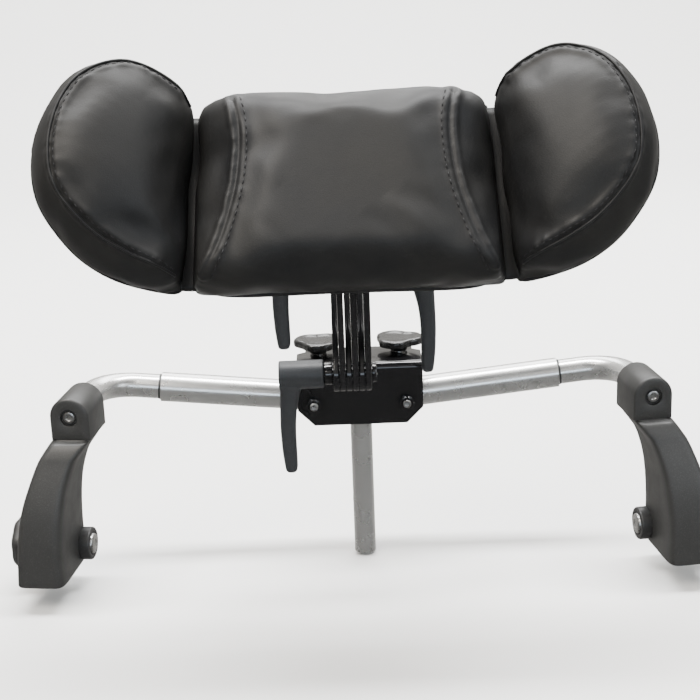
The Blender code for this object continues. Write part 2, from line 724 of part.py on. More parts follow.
def build_clamp(name, frame, spot, side, extra=0.0):
    """Bolt and index lever of the pivot at spot; side is the lever's, extra lengthens its collar."""
    stack = 3 * PITCH
    zinc = MATERIALS["zinc"]
    seat = empty(name + "_lever_axis", Vector(spot) + Vector((side * (stack + extra), 0, 0)), frame,
                 rotation=(0, 90, 0) if side > 0 else (0, 90, 180))
    head = -2 * stack - extra - GAP
    foot = GAP - extra
    bolt = [(0, 14), (BOLT_RADIUS, 14), (BOLT_RADIUS, head), (7.2, head), (7.2, head - 2.4),
            (6.2, head - 3.2), (0, head - 3.2)]
    insert = [(6.2, 20), (6.2, COLLAR_TOP), (COLLAR_RADIUS, COLLAR_TOP), (COLLAR_RADIUS, foot),
              (BOLT_HOLE, foot), (BOLT_HOLE, 16), (2.4, 16), (2.4, 20)]
    screw = [(0, 35.5), (4.0, 35.5), (4.6, 34.8), (4.6, 33), (2.0, 33), (2.0, 16.6), (0, 16.6)]
    turned(name + "_bolt", bolt, zinc, seat)
    turned(name + "_lever_insert", insert, MATERIALS["black_paint"], seat, ring=True)
    turned(name + "_lever_screw", screw, zinc, seat)
    build_lever_handle(name, seat, side)


def build_lever_handle(name, seat, side):
    plastic = MATERIALS["lever_plastic"]
    low = COLLAR_TOP + GAP
    hub = [(0, HUB_TOP), (HUB_RADIUS - 1, HUB_TOP), (HUB_RADIUS, HUB_TOP - 1), (HUB_RADIUS, low), (0, low)]
    handle = turned(name + "_lever_handle", hub, plastic, seat, steps=20)
    rings = []
    for reach, inner, outer, depth in LEVER_STATIONS:
        section = rounded_section((outer - inner) / 2, depth, count=16, power=3.2)
        rings.append([Vector((reach, y, (inner + outer) / 2 + z)) for z, y in section])
    boolean(handle, loft(name + "_lever_arm", rings, plastic, seat), "UNION")
    for label, radius, start, end in (("insert_bore", HUB_BORE, 0, WEB_LOW), ("web_bore", 2.8, 15, 30),
                                      ("spring_bore", 5.6, WEB_HIGH, 45)):
        boolean(handle, bar(f"{name}_{label}", radius, start, end, plastic, seat))


# ---- pad: local x sideways, y up the pad, z from its back to its face --------------------------------
def inset_loop(loop, distance, middle):
    """Moves each point towards a middle point by a distance."""
    moved = []
    for p in (Vector(q) for q in loop):
        ray = p - middle
        moved.append(middle + ray * (1 - distance / ray.length))
    return moved


def loop_middle(loop):
    return sum((Vector(p) for p in loop), Vector((0, 0))) / len(loop)


def cushion_rings(loop, low, high, inset, lean=0.0):
    """Rings of a cushion block with a rounded front edge; lean slopes its inner side with depth."""
    straight = PAD_THICK - EDGE_ROUND
    levels = [(low, inset), (straight, inset)]
    for angle in (30, 60, 90):
        a = math.radians(angle)
        height = straight + (high - straight) * math.sin(a)
        levels.append((height, inset + EDGE_ROUND * (1 - math.cos(a))))
    middle = loop_middle(loop)
    reach = max(abs(x) for x, _ in loop)
    rings = []
    for z, distance in levels:
        shift = lean * (PAD_THICK - z)
        ring = []
        for x, y in inset_loop(loop, distance, middle):
            ring.append(Vector((x - shift * (1 - abs(x) / reach), y, z)))
        rings.append(ring)
    return rings


def build_cushion(name, loop, frame, shift, lean=0.0):
    """A cup-shaped cover with its foam block inside; shift moves the outline to the frame's axes."""
    leather, foam = MATERIALS["leatherette"], MATERIALS["foam"]
    outside = cushion_rings(loop, 0, PAD_THICK, 0.0, lean)
    inside = cushion_rings(loop, -5, PAD_THICK - COVER_WALL, COVER_WALL, lean)
    block = cushion_rings(loop, 0, PAD_THICK - COVER_WALL - GAP, COVER_WALL + 2 * GAP, lean)
    cover = loft(name + "_cover", outside, leather, frame, location=shift)
    hollow = loft(name + "_cover_hollow", inside, leather, frame, location=shift)
    boolean(cover, hollow, solver="MANIFOLD")
    loft(name + "_foam", block, foam, frame, location=shift)


def center_loop():
    points = []
    for sx, sy, start in ((1, 1, 0), (-1, 1, 90), (-1, -1, 180), (1, -1, 270)):
        x, y = sx * (CENTER_HALF_WIDE - CENTER_CORNER), sy * (CENTER_HALF_HIGH - CENTER_CORNER)
        points += arc(x, y, CENTER_CORNER, start, start + 90, 5)
    return [(x - math.copysign(CENTER_TAPER * y, x), y) for x, y in points]


def wing_loop(side):
    outline = smooth_path([(x - CENTER_TAPER * y, y) for x, y in WING_OUTLINE], spans=3)
    return [(side * x, y) for x, y in outline]


def knuckle(name, low, high, frame, **spot):
    steel = MATERIALS["plate_steel"]
    return bar(name, KNUCKLE_RADIUS, low, high, steel, frame, rotation=(-90, 0, 0), **spot)


def build_center(frame):
    steel = MATERIALS["plate_steel"]
    build_cushion("center", center_loop(), frame, (0, 0, 0))
    high = CENTER_HALF_HIGH - 10
    wide = HINGE_X - 14
    low, near = -3 * KNUCKLE_HALF, -KNUCKLE_HALF
    tabs = [(wide, -high), (wide, low), (HINGE_X, low), (HINGE_X, near), (wide, near)]
    right = tabs + [(x, -y) for x, y in reversed(tabs)]
    outline = right + [(-x, y) for x, y in reversed(right)]
    holes = [(sx * FORK_SCREW_X, y, 2.7) for sx in (-1, 1) for y in FORK_SCREW_ROWS]
    plate = flat_plate("center_back_plate", outline, holes, BACK_PLATE, steel, frame,
                       location=(0, 0, -GAP - BACK_PLATE / 2))
    for side in (-1, 1):
        for number, middle in enumerate((-2 * KNUCKLE_HALF, 2 * KNUCKLE_HALF), 1):
            eye = knuckle(f"{side_name(side)}_center_knuckle_{number}", middle - KNUCKLE_HALF,
                          middle + KNUCKLE_HALF, frame, location=(side * HINGE_X, 0, HINGE_N))
            boolean(plate, eye, "UNION", "MANIFOLD")
        pin_bore = bar(side_name(side) + "_center_pin_bore", HINGE_PIN_RADIUS + GAP, -60, 60, steel, frame,
                       location=(side * HINGE_X, 0, HINGE_N), rotation=(-90, 0, 0))
        boolean(plate, pin_bore, "DIFFERENCE", "MANIFOLD")


def build_wing(side, pad_frame):
    """A wing turns on its hinge pin behind the crease between it and the centre cushion."""
    name = side_name(side) + "_wing"
    steel = MATERIALS["plate_steel"]
    toe = math.radians(WING_TOE)
    crease = Vector((WING_CREASE_X, PAD_THICK)) - PAD_THICK * Vector((-math.sin(toe), math.cos(toe)))
    offset = crease - Vector((HINGE_X, HINGE_N))
    out = offset.dot(Vector((math.cos(toe), math.sin(toe))))
    rise = offset.dot(Vector((-math.sin(toe), math.cos(toe))))
    frame = empty(name + "_hinge", (side * HINGE_X, 0, HINGE_N), pad_frame,
                  rotation=(0, -side * WING_TOE, 0))
    loop = wing_loop(side)
    build_cushion(name, loop, frame, (side * out, 0, rise), side * WING_LEAN)
    leaf_z = rise - GAP - BACK_PLATE / 2
    plate_loop = [(p.x + side * out, p.y) for p in inset_loop(loop, 14, loop_middle(loop))]
    plate = flat_plate(name + "_plate", plate_loop, [], BACK_PLATE, steel, frame, location=(0, 0, leaf_z))
    half, thin = KNUCKLE_HALF - 1, BACK_PLATE / 2 - 0.2
    tab = box(name + "_tab", (min(0, side * WING_TAB), -half, leaf_z - thin),
              (max(0, side * WING_TAB), half, leaf_z + thin), steel, frame)
    boolean(plate, tab, "UNION", "MANIFOLD")
    boolean(plate, knuckle(name + "_knuckle", -half, half, frame), "UNION", "MANIFOLD")
    pin_bore = bar(name + "_pin_bore", HINGE_PIN_RADIUS + GAP, -20, 20, steel, frame, rotation=(-90, 0, 0))
    boolean(plate, pin_bore, "DIFFERENCE", "MANIFOLD")
    top, low = HINGE_PIN_HALF, -HINGE_PIN_HALF
    profile = [(0, top), (HINGE_PIN_RADIUS, top), (HINGE_PIN_RADIUS, low), (3.4, low), (3.4, low - 1.5),
               (0, low - 1.5)]
    turned(name + "_hinge_pin", profile, MATERIALS["zinc"], frame, rotation=(-90, 0, 0))


def build_fork(frame):
    """The pad's welded bracket: a base plate with three eyes for the pad pivot."""
    steel = MATERIALS["black_paint"]
    shift = STACK_X - PAD_X
    low, high = min(FORK_SCREW_ROWS) - FORK_RIM, max(FORK_SCREW_ROWS) + FORK_RIM
    top = FORK_BACK + FORK_BASE
    base = box("pad_fork", (-FORK_HALF, low, FORK_BACK), (FORK_HALF, high, top), steel, frame)
    back = FORK_BACK + FORK_BASE / 2
    up, out = pivot_in_pad()
    outline = [(up + 22, back), (up - 16, back), *arc(up, out, LINK_END, 180, 360, 8)]
    eyes = three_plates("fork_eyes", outline, [(up, out, BOLT_HOLE)], 0, steel, frame, shift)
    boolean(base, eyes, "UNION", "MANIFOLD")


def pad_back_center():
    tilt = math.radians(PAD_TILT)
    lean = PAD_THICK * Vector((0, math.cos(tilt), -math.sin(tilt)))
    return Vector((PAD_X, PAD_FACE_Y, PAD_FACE_Z)) + lean


def pivot_in_pad():
    """The pad pivot as (up the pad, height above its back); it lies behind, so the height is negative."""
    tilt = math.radians(PAD_TILT)
    back = pad_back_center()
    dy, dz = PAD_PIVOT[0] - back.y, PAD_PIVOT[1] - back.z
    return dy * math.sin(tilt) + dz * math.cos(tilt), -dy * math.cos(tilt) + dz * math.sin(tilt)


def build_pad(parent):
    pad = Vector(PAD_PIVOT) - Vector(KNEE_PIVOT)
    pivot = empty("pad_pivot", (0, pad.x, pad.y), parent)
    back = pad_back_center() - Vector((STACK_X, *PAD_PIVOT))
    frame = empty("pad_frame", back, pivot, rotation=(90 - PAD_TILT, 0, 0))
    build_center(frame)
    build_fork(frame)
    for side in (-1, 1):
        build_wing(side, frame)


clear_scene()
PART = collection("chair_headrest_attachment")
CUTTERS = collection("cutters")
MATERIALS = {
    "aluminium": material("satin_aluminium", (0.78, 0.78, 0.77), 0.35, 1.0),
    "arm_plastic": material("grey_arm_plastic", (0.065, 0.065, 0.065), 0.5),
    "black_paint": material("gloss_black_paint", (0.012, 0.012, 0.013), 0.15),
    "black_plastic": material("black_plastic", (0.02, 0.02, 0.02), 0.45),
    "foam": material("foam", (0.75, 0.70, 0.55), 0.95),
    "gloss_plastic": material("gloss_knob_plastic", (0.015, 0.015, 0.015), 0.12),
    "leatherette": material("black_leatherette", (0.018, 0.019, 0.02), 0.45),
    "lever_plastic": material("charcoal_lever_plastic", (0.045, 0.048, 0.052), 0.55),
    "plate_steel": material("plate_steel", (0.03, 0.03, 0.03), 0.4),
    "zinc": material("bright_zinc", (0.72, 0.72, 0.70), 0.3, 1.0),
}
ROOT = empty("bracket_frame", (0, 0, 0))
build_crossbar()
build_bracket()
build_stem_guide()
build_saddle()
for SIDE in (-1, 1):
    build_end_tube(SIDE)
    build_knob(SIDE)
    build_set_screw(SIDE)
STEM = build_stem()
LOWER = build_lower_link(STEM)
UPPER = build_upper_link(LOWER)
build_pad(UPPER)
build_clamp("stem", STEM, (STACK_X, STEM_PIVOT[0] - STEM_Y, STEM_PIVOT[1]), 1, STEM_COLLAR)
build_clamp("knee", UPPER, (0, 0, 0), -1)
build_clamp("pad", UPPER, (0, PAD_PIVOT[0] - KNEE_PIVOT[0], PAD_PIVOT[1] - KNEE_PIVOT[1]), -1)
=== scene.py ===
"""Looks for the chair headrest attachment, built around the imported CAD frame.

Sizes are in millimetres in the local frames below; a piece's vertices are turned into metres in
the shared frame when the piece is made. Local frames come from the CAD joints and boxes.
"""
import json
import math

import bmesh
import bpy
from mathutils import Matrix, Vector, noise
from mathutils.bvhtree import BVHTree
from mathutils.kdtree import KDTree


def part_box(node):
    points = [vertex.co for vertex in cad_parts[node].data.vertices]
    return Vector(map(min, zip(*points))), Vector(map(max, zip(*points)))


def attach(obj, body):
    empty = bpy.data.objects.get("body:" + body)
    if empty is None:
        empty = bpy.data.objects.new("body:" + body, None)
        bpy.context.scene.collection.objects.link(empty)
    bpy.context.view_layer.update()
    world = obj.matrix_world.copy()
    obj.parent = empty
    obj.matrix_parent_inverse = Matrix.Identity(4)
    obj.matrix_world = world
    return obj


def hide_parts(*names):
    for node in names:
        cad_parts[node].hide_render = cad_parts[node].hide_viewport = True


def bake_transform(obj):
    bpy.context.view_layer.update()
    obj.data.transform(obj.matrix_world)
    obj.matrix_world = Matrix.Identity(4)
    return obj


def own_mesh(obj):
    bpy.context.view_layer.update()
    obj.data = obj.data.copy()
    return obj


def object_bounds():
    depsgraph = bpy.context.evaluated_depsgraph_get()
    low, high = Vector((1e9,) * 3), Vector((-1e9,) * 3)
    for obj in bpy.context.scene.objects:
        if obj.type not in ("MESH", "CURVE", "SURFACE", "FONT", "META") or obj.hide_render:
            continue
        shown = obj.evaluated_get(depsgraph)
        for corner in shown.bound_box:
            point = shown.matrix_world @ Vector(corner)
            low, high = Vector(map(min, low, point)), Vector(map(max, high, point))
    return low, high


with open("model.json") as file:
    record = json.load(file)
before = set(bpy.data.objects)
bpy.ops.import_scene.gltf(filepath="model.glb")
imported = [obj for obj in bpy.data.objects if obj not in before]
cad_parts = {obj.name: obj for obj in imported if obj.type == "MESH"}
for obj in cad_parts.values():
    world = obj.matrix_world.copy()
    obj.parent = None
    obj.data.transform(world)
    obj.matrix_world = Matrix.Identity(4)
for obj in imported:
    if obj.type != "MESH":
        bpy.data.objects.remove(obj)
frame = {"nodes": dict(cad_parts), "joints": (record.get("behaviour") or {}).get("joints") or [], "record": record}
CAD_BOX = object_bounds()
MM = 0.001
JOINTS = {joint["name"]: joint for joint in frame["joints"]}
SIDES = ((-1, "left"), (1, "right"))


# ---- local frames -------------------------------------------------------------------------------
def spot(joint):
    """A hinge's place in millimetres."""
    return Vector(JOINTS[joint]["pos_m"]) / MM


def low(node):
    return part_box(node)[0] / MM


def high(node):
    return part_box(node)[1] / MM


def local_frame(origin, x, y, z):
    """Matrix from local millimetres to metres, with these axes and this origin in millimetres."""
    return Matrix.Scale(MM, 4) @ Matrix.Translation(origin) @ Matrix((x, y, z)).transposed().to_4x4()


X, Y, Z = Vector((1, 0, 0)), Vector((0, 1, 0)), Vector((0, 0, 1))
WORLD = local_frame(Vector(), X, Y, Z)


def upright(x, y):
    return local_frame(Vector((x, y, 0)), X, Y, Z)


# ---- materials ----------------------------------------------------------------------------------
class Shader:
    """A Principled material and short ways to add procedural nodes to it."""

    def __init__(self, name, color, roughness, metallic=0.0):
        self.mat = bpy.data.materials.new(name)
        self.mat.use_nodes = True
        self.tree = self.mat.node_tree
        self.bsdf = self.tree.nodes["Principled BSDF"]
        self.bsdf.inputs["Base Color"].default_value = (*color, 1)
        self.bsdf.inputs["Roughness"].default_value = roughness
        self.bsdf.inputs["Metallic"].default_value = metallic
        self.place = self.node("ShaderNodeTexCoord").outputs["Object"]

    def node(self, kind, **inputs):
        made = self.tree.nodes.new(kind)
        for key, value in inputs.items():
            self.put(value, made.inputs[key.replace("_", " ")])
        return made

    def put(self, value, socket):
        if isinstance(value, bpy.types.NodeSocket):
            self.tree.links.new(value, socket)
        else:
            socket.default_value = value

    def set(self, socket, value):
        self.put(value, self.bsdf.inputs[socket])

    def noise(self, scale, detail):
        made = self.node("ShaderNodeTexNoise", Vector=self.place, Scale=scale, Detail=detail, Roughness=0.55)
        return made.outputs["Fac"]

    def cells(self, scale, feature="F1"):
        made = self.node("ShaderNodeTexVoronoi", Vector=self.place, Scale=scale)
        made.feature = feature
        return made.outputs["Distance"]

    def ramp(self, value, start, end, low_value, high_value):
        return self.node("ShaderNodeMapRange", Value=value, From_Min=start, From_Max=end, To_Min=low_value,
                         To_Max=high_value).outputs["Result"]

    def mix(self, value, first, second):
        made = self.node("ShaderNodeMix")
        made.data_type = "RGBA"
        self.put(value, made.inputs[0])
        self.put((*first, 1), made.inputs[6])
        self.put((*second, 1), made.inputs[7])
        return made.outputs[2]

    def bump(self, height, distance, strength, after=None):
        made = self.node("ShaderNodeBump", Height=height, Distance=distance, Strength=strength)
        if after is not None:
            self.put(after, made.inputs["Normal"])
        return made.outputs["Normal"]


def leatherette(name, color, shade):
    """Coated fabric: fine pebbled grain, soft creases and a slightly uneven satin coat."""
    s = Shader(name, color, 0.46)
    s.set("Base Color", s.mix(s.ramp(s.noise(14, 3), 0.35, 0.7, 0, 1), color, shade))
    s.set("Roughness", s.ramp(s.noise(30, 5), 0.3, 0.7, 0.46, 0.56))
    s.set("Specular IOR Level", 0.3)
    grain = s.bump(s.cells(1500, "SMOOTH_F1"), 0.00012, 0.35)
    fine = s.bump(s.noise(900, 3), 0.00010, 0.4, grain)
    s.set("Normal", s.bump(s.noise(60, 3), 0.0004, 0.3, fine))
    return s.mat


def brushed_aluminium(name):
    """Satin anodised tube, slightly uneven in colour and polish."""
    s = Shader(name, (0.75, 0.75, 0.74), 0.27, 0.9)
    s.set("Roughness", s.ramp(s.noise(40, 4), 0.3, 0.7, 0.24, 0.30))
    s.set("Base Color", s.mix(s.noise(25, 3), (0.72, 0.72, 0.71), (0.78, 0.78, 0.77)))
    s.set("Anisotropic", 0.3)
    return s.mat


def gloss_paint(name, color, roughness):
    """Thick powder-coat gloss with a light orange peel."""
    s = Shader(name, color, roughness)
    s.set("Specular IOR Level", 0.5)
    s.set("Coat Weight", 0.25)
    s.set("Coat Roughness", 0.05)
    s.set("Roughness", s.ramp(s.noise(60, 3), 0.3, 0.7, roughness * 0.9, roughness * 1.2))
    s.set("Normal", s.bump(s.noise(260, 2), 0.00002, 0.25))
    return s.mat


def moulded_plastic(name, color, speck, roughness, grain):
    """Spark-eroded plastic: a fine even grain with faint lighter specks."""
    s = Shader(name, color, roughness)
    s.set("Base Color", s.mix(s.ramp(s.noise(1400, 2), 0.5, 0.72, 0, 1), color, speck))
    s.set("Roughness", s.ramp(s.noise(55, 4), 0.3, 0.7, roughness - 0.05, roughness + 0.06))
    s.set("Specular IOR Level", 0.45)
    coarse = s.bump(s.cells(1100), 0.00010, grain)
    s.set("Normal", s.bump(s.noise(1700, 2), 0.00006, grain, coarse))
    return s.mat


def zinc_plate(name, color, roughness):
    s = Shader(name, color, roughness, 1.0)
    s.set("Roughness", s.ramp(s.noise(500, 4), 0.3, 0.7, roughness * 0.75, roughness * 1.35))
    s.set("Normal", s.bump(s.noise(700, 3), 0.00004, 0.5))
    return s.mat


def thread(name, color):
    """Twisted sewing thread."""
    s = Shader(name, color, 0.6)
    s.set("Specular IOR Level", 0.3)
    s.set("Normal", s.bump(s.noise(2500, 2), 0.00010, 0.6))
    return s.mat


def open_foam(name):
    s = Shader(name, (0.72, 0.66, 0.48), 0.9)
    s.set("Normal", s.bump(s.cells(700), 0.0006, 0.8))
    return s.mat


LEATHER = leatherette("pad_leatherette", (0.0060, 0.0062, 0.0068), (0.0095, 0.0090, 0.0082))
PIPING = leatherette("piping_leatherette", (0.006, 0.006, 0.0065), (0.009, 0.009, 0.009))
THREAD = thread("black_thread", (0.009, 0.009, 0.010))
SLOT_LOOKS = {
    "aluminium": brushed_aluminium("satin_aluminium"),
    "arm_plastic": moulded_plastic("grey_arm_plastic", (0.018, 0.018, 0.0175), (0.031, 0.031, 0.030),
                                   0.44, 0.3),
    "black_paint": gloss_paint("gloss_black_paint", (0.006, 0.006, 0.0065), 0.16),
    "black_plastic": moulded_plastic("black_plastic", (0.016, 0.016, 0.016), (0.03, 0.03, 0.03), 0.42, 0.2),
    "foam": open_foam("cream_foam"),
    "gloss_plastic": gloss_paint("gloss_black_plastic", (0.010, 0.010, 0.010), 0.24),
    "leatherette": LEATHER,
    "lever_plastic": moulded_plastic("charcoal_lever_plastic", (0.016, 0.0175, 0.020), (0.026, 0.028, 0.031),
                                     0.48, 0.3),
    "plate_steel": gloss_paint("satin_black_steel", (0.006, 0.006, 0.0065), 0.42),
    "zinc": zinc_plate("bright_zinc", (0.55, 0.55, 0.54), 0.28),
}
NODE_SLOT = {part["node"]: part["material_slot"] for part in frame["record"]["subparts"]}


# ---- making pieces ---------------------------------------------------------------------------------
def finish_piece(obj, body, slot, mat=None, replaces=(), sharp=32):
    """Gives a mesh object its material, smooth shading with sharp corners, and its body."""
    mesh = obj.data
    mesh.materials.clear()
    mesh.materials.append(mat or SLOT_LOOKS[slot])
    mesh.shade_smooth()
    if sharp:
        mesh.set_sharp_from_angle(angle=math.radians(sharp))
    if body:
        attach(obj, body)
    if replaces:
        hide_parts(*replaces)
    return obj


def add_object(name, data):
    obj = bpy.data.objects.new(name, data)
    bpy.context.scene.collection.objects.link(obj)
    return obj


def mesh_of(name, bm, at=None):
    """A bmesh as a mesh; with a frame, its millimetres become metres and its faces point outwards."""
    if at is not None:
        bmesh.ops.recalc_face_normals(bm, faces=bm.faces)
        bm.transform(at)
        if at.determinant() < 0:
            bmesh.ops.reverse_faces(bm, faces=bm.faces)
    mesh = bpy.data.meshes.new(name)
    bm.to_mesh(mesh)
    bm.free()
    return mesh


def piece(name, bm, at, body, slot, mat=None, replaces=(), sharp=32):
    """A mesh piece from a bmesh in local millimetres."""
    return finish_piece(add_object(name, mesh_of(name, bm, at)), body, slot, mat, replaces, sharp)


def modify(obj, kind, **settings):
    """Adds a modifier with these settings."""
    mod = obj.modifiers.new(kind.title(), kind)
    for key, value in settings.items():
        setattr(mod, key, value)
    return mod


def applied(obj):
    """Applies an object's modifiers to its mesh."""
    mesh = bpy.data.meshes.new_from_object(obj.evaluated_get(bpy.context.evaluated_depsgraph_get()))
    obj.modifiers.clear()
    obj.data = mesh
    return obj


def angles(count, start=0.0):
    """Even angles round a full turn."""
    return [2 * math.pi * (i + start) / count for i in range(count)]


def add_rings(bm, rings, loop=False):
    """Quads between equal rings; the ends are closed by flat faces unless the rings form a loop."""
    layers = [[bm.verts.new(point) for point in ring] for ring in rings]
    count = len(layers[0])
    pairs = list(zip(layers, layers[1:]))
    if loop:
        pairs.append((layers[-1], layers[0]))
    for first, second in pairs:
        for i in range(count):
            j = (i + 1) % count
            bm.faces.new((first[i], first[j], second[j], second[i]))
    if not loop:
        bm.faces.new(layers[0][::-1])
        bm.faces.new(layers[-1])
    return bm


def fill(bm, grid):
    """Quads over rows of vertices."""
    for a, b in zip(grid, grid[1:]):
        for i in range(len(a) - 1):
            bm.faces.new((a[i], a[i + 1], b[i + 1], b[i]))


def border(grid):
    """The vertices round a grid, in order."""
    return grid[0][:-1] + [row[-1] for row in grid[:-1]] + grid[-1][:0:-1] + [row[0] for row in grid[:0:-1]]


def ring(radius, z, count=48, shape=None):
    """A level ring; shape gives a factor of the radius at an angle."""
    points = []
    for a in angles(count):
        r = radius * (shape(a) if shape else 1)
        points.append(Vector((r * math.cos(a), r * math.sin(a), z)))
    return points


def hexagon(a):
    """Factor that makes a ring of unit flat-to-flat half width a hexagon."""
    return 1 / math.cos((a + math.pi / 6) % (math.pi / 3) - math.pi / 6)


def turned(profile, count=48, loop=False):
    """Rings through an (r, z) profile."""
    return add_rings(bmesh.new(), [ring(max(r, 0.02), z, count) for r, z in profile], loop)


def rounded(profile, radius=0.5):
    """Cuts every corner of an (r, z) profile by a small chamfer with a rounded middle."""
    points = [Vector(profile[0])]
    for before, here, after in zip(profile, profile[1:], profile[2:]):
        before, here, after = Vector(before), Vector(here), Vector(after)
        back, ahead = before - here, after - here
        reach = min(radius, back.length * 0.45, ahead.length * 0.45)
        first, last = here + back.normalized() * reach, here + ahead.normalized() * reach
        points += [first, (first + last) * 0.32 + here * 0.36, last]
    return [tuple(p) for p in points + [Vector(profile[-1])]]


def axis_frame(origin, axis, up=Z):
    """Local Z along an axis, local X near the given up direction."""
    z = axis.normalized()
    x = (up - z * up.dot(z)).normalized()
    return local_frame(origin, x, z.cross(x), z)


def frames_along(path, loop):
    """Each point of a path with two directions across it that turn as little as possible."""
    frames, side, last = [], None, len(path) - 1
    for i, here in enumerate(path):
        before = path[i - 1] if i or loop else here
        after = path[(i + 1) % len(path)] if i < last or loop else here
        along = (after - before).normalized()
        if side is None:
            side = along.orthogonal().normalized()
        side = (side - along * side.dot(along)).normalized()
        frames.append((here, side.copy(), along.cross(side)))
    return frames


def section(across, radius, count):
    """A round section of a swept path at one of its points."""
    here, first, second = across
    return [here + (first * math.cos(a) + second * math.sin(a)) * radius for a in angles(count)]


def sweep(bm, path, radii, count, loop=False):
    """A solid cord along a path; radii is one number or one for each point."""
    if not isinstance(radii, list):
        radii = [radii] * len(path)
    frames = frames_along(path, loop)
    return add_rings(bm, [section(at, radius, count) for at, radius in zip(frames, radii)], loop)


def shell(path, outer, inner, count=48):
    """Rings out along a path and back inside it, joined at both ends."""
    frames = frames_along(path, False)
    rings = [section(at, radius, count) for at, radius in zip(frames, outer)]
    rings += [section(at, radius, count) for at, radius in zip(frames[::-1], inner[::-1])]
    return add_rings(bmesh.new(), rings, True)


def plate(name, outline, holes, at, body, replaces=()):
    """A painted link plate with rounded edges: a filled 2D curve, extruded and bevelled, made a mesh."""
    edge = 0.7
    curve = bpy.data.curves.new(name, "CURVE")
    curve.dimensions = "2D"
    curve.fill_mode = "BOTH"
    curve.extrude = LINK_PLATE / 2 - edge
    curve.bevel_depth = edge
    curve.bevel_resolution = 2
    curve.offset = -edge
    rounds = [[(x + r * math.cos(a), y + r * math.sin(a)) for a in angles(32)] for x, y, r in holes]
    for loop in [outline] + rounds:
        spline = curve.splines.new("POLY")
        spline.points.add(len(loop) - 1)
        for point, (x, y) in zip(spline.points, loop):
            point.co = (x, y, 0, 1)
        spline.use_cyclic_u = True
    guide = add_object(name + "_curve", curve)
    mesh = bpy.data.meshes.new_from_object(guide.evaluated_get(bpy.context.evaluated_depsgraph_get()))
    bpy.data.objects.remove(guide)
    bm = bmesh.new()
    bm.from_mesh(mesh)
    bpy.data.meshes.remove(mesh)
    bmesh.ops.remove_doubles(bm, verts=bm.verts, dist=0.001)
    return piece(name, bm, at, body, "black_paint", replaces=replaces)


def arc(x, y, radius, start, end, steps=16):
    """Points on an arc, angles in degrees."""
    turns = (math.radians(start + (end - start) * i / steps) for i in range(steps + 1))
    return [(x + radius * math.cos(a), y + radius * math.sin(a)) for a in turns]


def between(a, b, c, d, t):
    """A share t of the way from b to c on the Catmull-Rom curve through four numbers or points."""
    return 0.5 * (2 * b + (c - a) * t + (2 * a - 5 * b + 4 * c - d) * t ** 2
                  + (3 * b - a - 3 * c + d) * t ** 3)


def smooth_path(points, spans):
    """A Catmull-Rom curve through the points from the first to the last."""
    ends = [Vector(p) for p in (points[0], *points, points[-1])]
    path = []
    for i in range(len(points) - 1):
        path += [between(*ends[i:i + 4], step / spans) for step in range(spans)]
    return path + [Vector(points[-1])]


def superellipse(half_x, half_y, count, power):
    points = []
    for a in angles(count, 0.5):
        c, s = math.cos(a), math.sin(a)
        points.append((half_x * math.copysign(abs(c) ** (2 / power), c),
                       half_y * math.copysign(abs(s) ** (2 / power), s)))
    return points


# ---- pad ----------------------------------------------------------------------------------------
UP = Vector(JOINTS["right_wing_angle"]["axis"])
FACE = X.cross(UP)                      # out of the pad's face
HINGE_DEPTH = 5.0                       # the hinge pins lie this far behind the covers
PAD_BACK = (spot("left_wing_angle") + spot("right_wing_angle")) / 2 + FACE * HINGE_DEPTH
PAD = local_frame(PAD_BACK, X, UP, FACE)
THICK = 50.0
TAPER = 0.045                           # the creases lean in towards the top
CREASE_X = 88.5
TOE = math.radians(22)                  # how far the wings turn in
CREASE_LEAN = math.tan(TOE / 2)
WING_LEAN = math.tan(TOE) * 0.55        # how far a wing's inner wall leans back under its face
CREASE_GAP = 1.0                        # half the gap between a wing and the centre cushion
CENTER_TOP, CENTER_BOTTOM = 63.0, -58.5
EDGE_RADIUS = 17.0
SIDE_DROP = 22.0                        # depth of the gussets' outer edge below the face
INNER_ROLL, ROLL_WIDTH, ROLL_START = 10.0, 14.0, 30.0
WING_SEAM_RISE = 42.0                   # height of a wing's seam above its back
PIPING_INSET, PIPING_RISE = 2.0, 2.2
CAP_MOVE = 6.0                          # no point of a cover moves further in the cloth simulation
SEAM_SPANS = 8
PANEL_HALF, PANEL_DEPTH = 7.0, 12.0     # the strip at the bottom of a crease
VOXEL = 4.0
# seams and edges as (x, y) in the pad's or wing's frame, set from measures in the photo
SEAM_CENTER = ((68, 56), (65, 42), (64.6, 24), (67, 3), (71.5, -15), (77.5, -33), (84, -46), (89.5, -55))
WING_SEAM = ((1, 57), (10, 65), (25, 74), (43, 79), (60, 75), (74, 65), (83, 50), (87.5, 34), (88.5, 18),
             (86, 3), (79, -10), (68, -22), (54, -33), (38, -41), (21, -47), (6, -50.5))
WING_EDGE = ((1, 55), (11, 68), (26, 78.5), (45, 84), (63, 81), (78, 69.5), (87.5, 51), (92, 32), (92, 14),
             (88, -4), (78, -21), (63, -38), (44, -49.5), (23, -55), (4, -57))


def wing_matrix(side):
    """A wing's local frame: x outwards from its crease, y up, z out of its face."""
    out = X * (side * math.cos(TOE)) + FACE * math.sin(TOE)
    face = X * (-side * math.sin(TOE)) + FACE * math.cos(TOE)
    back = PAD_BACK + X * (side * (CREASE_X + THICK * math.sin(TOE))) + FACE * (THICK * (1 - math.cos(TOE)))
    return local_frame(back, out, UP, face)


def seam_x(y):
    """Sideways place of a centre seam at a height."""
    path = [Vector(p) for p in SEAM_CENTER]
    for above, below in zip(path, path[1:]):
        if y >= below.y:
            break
    t = min(1.0, max(0.0, (above.y - y) / (above.y - below.y)))
    return above.x + (below.x - above.x) * t


def center_half(y, z):
    """Half width of the centre cushion: its walls follow the creases, which lean out to the back."""
    return CREASE_X - TAPER * y + (THICK - z) * CREASE_LEAN - CREASE_GAP


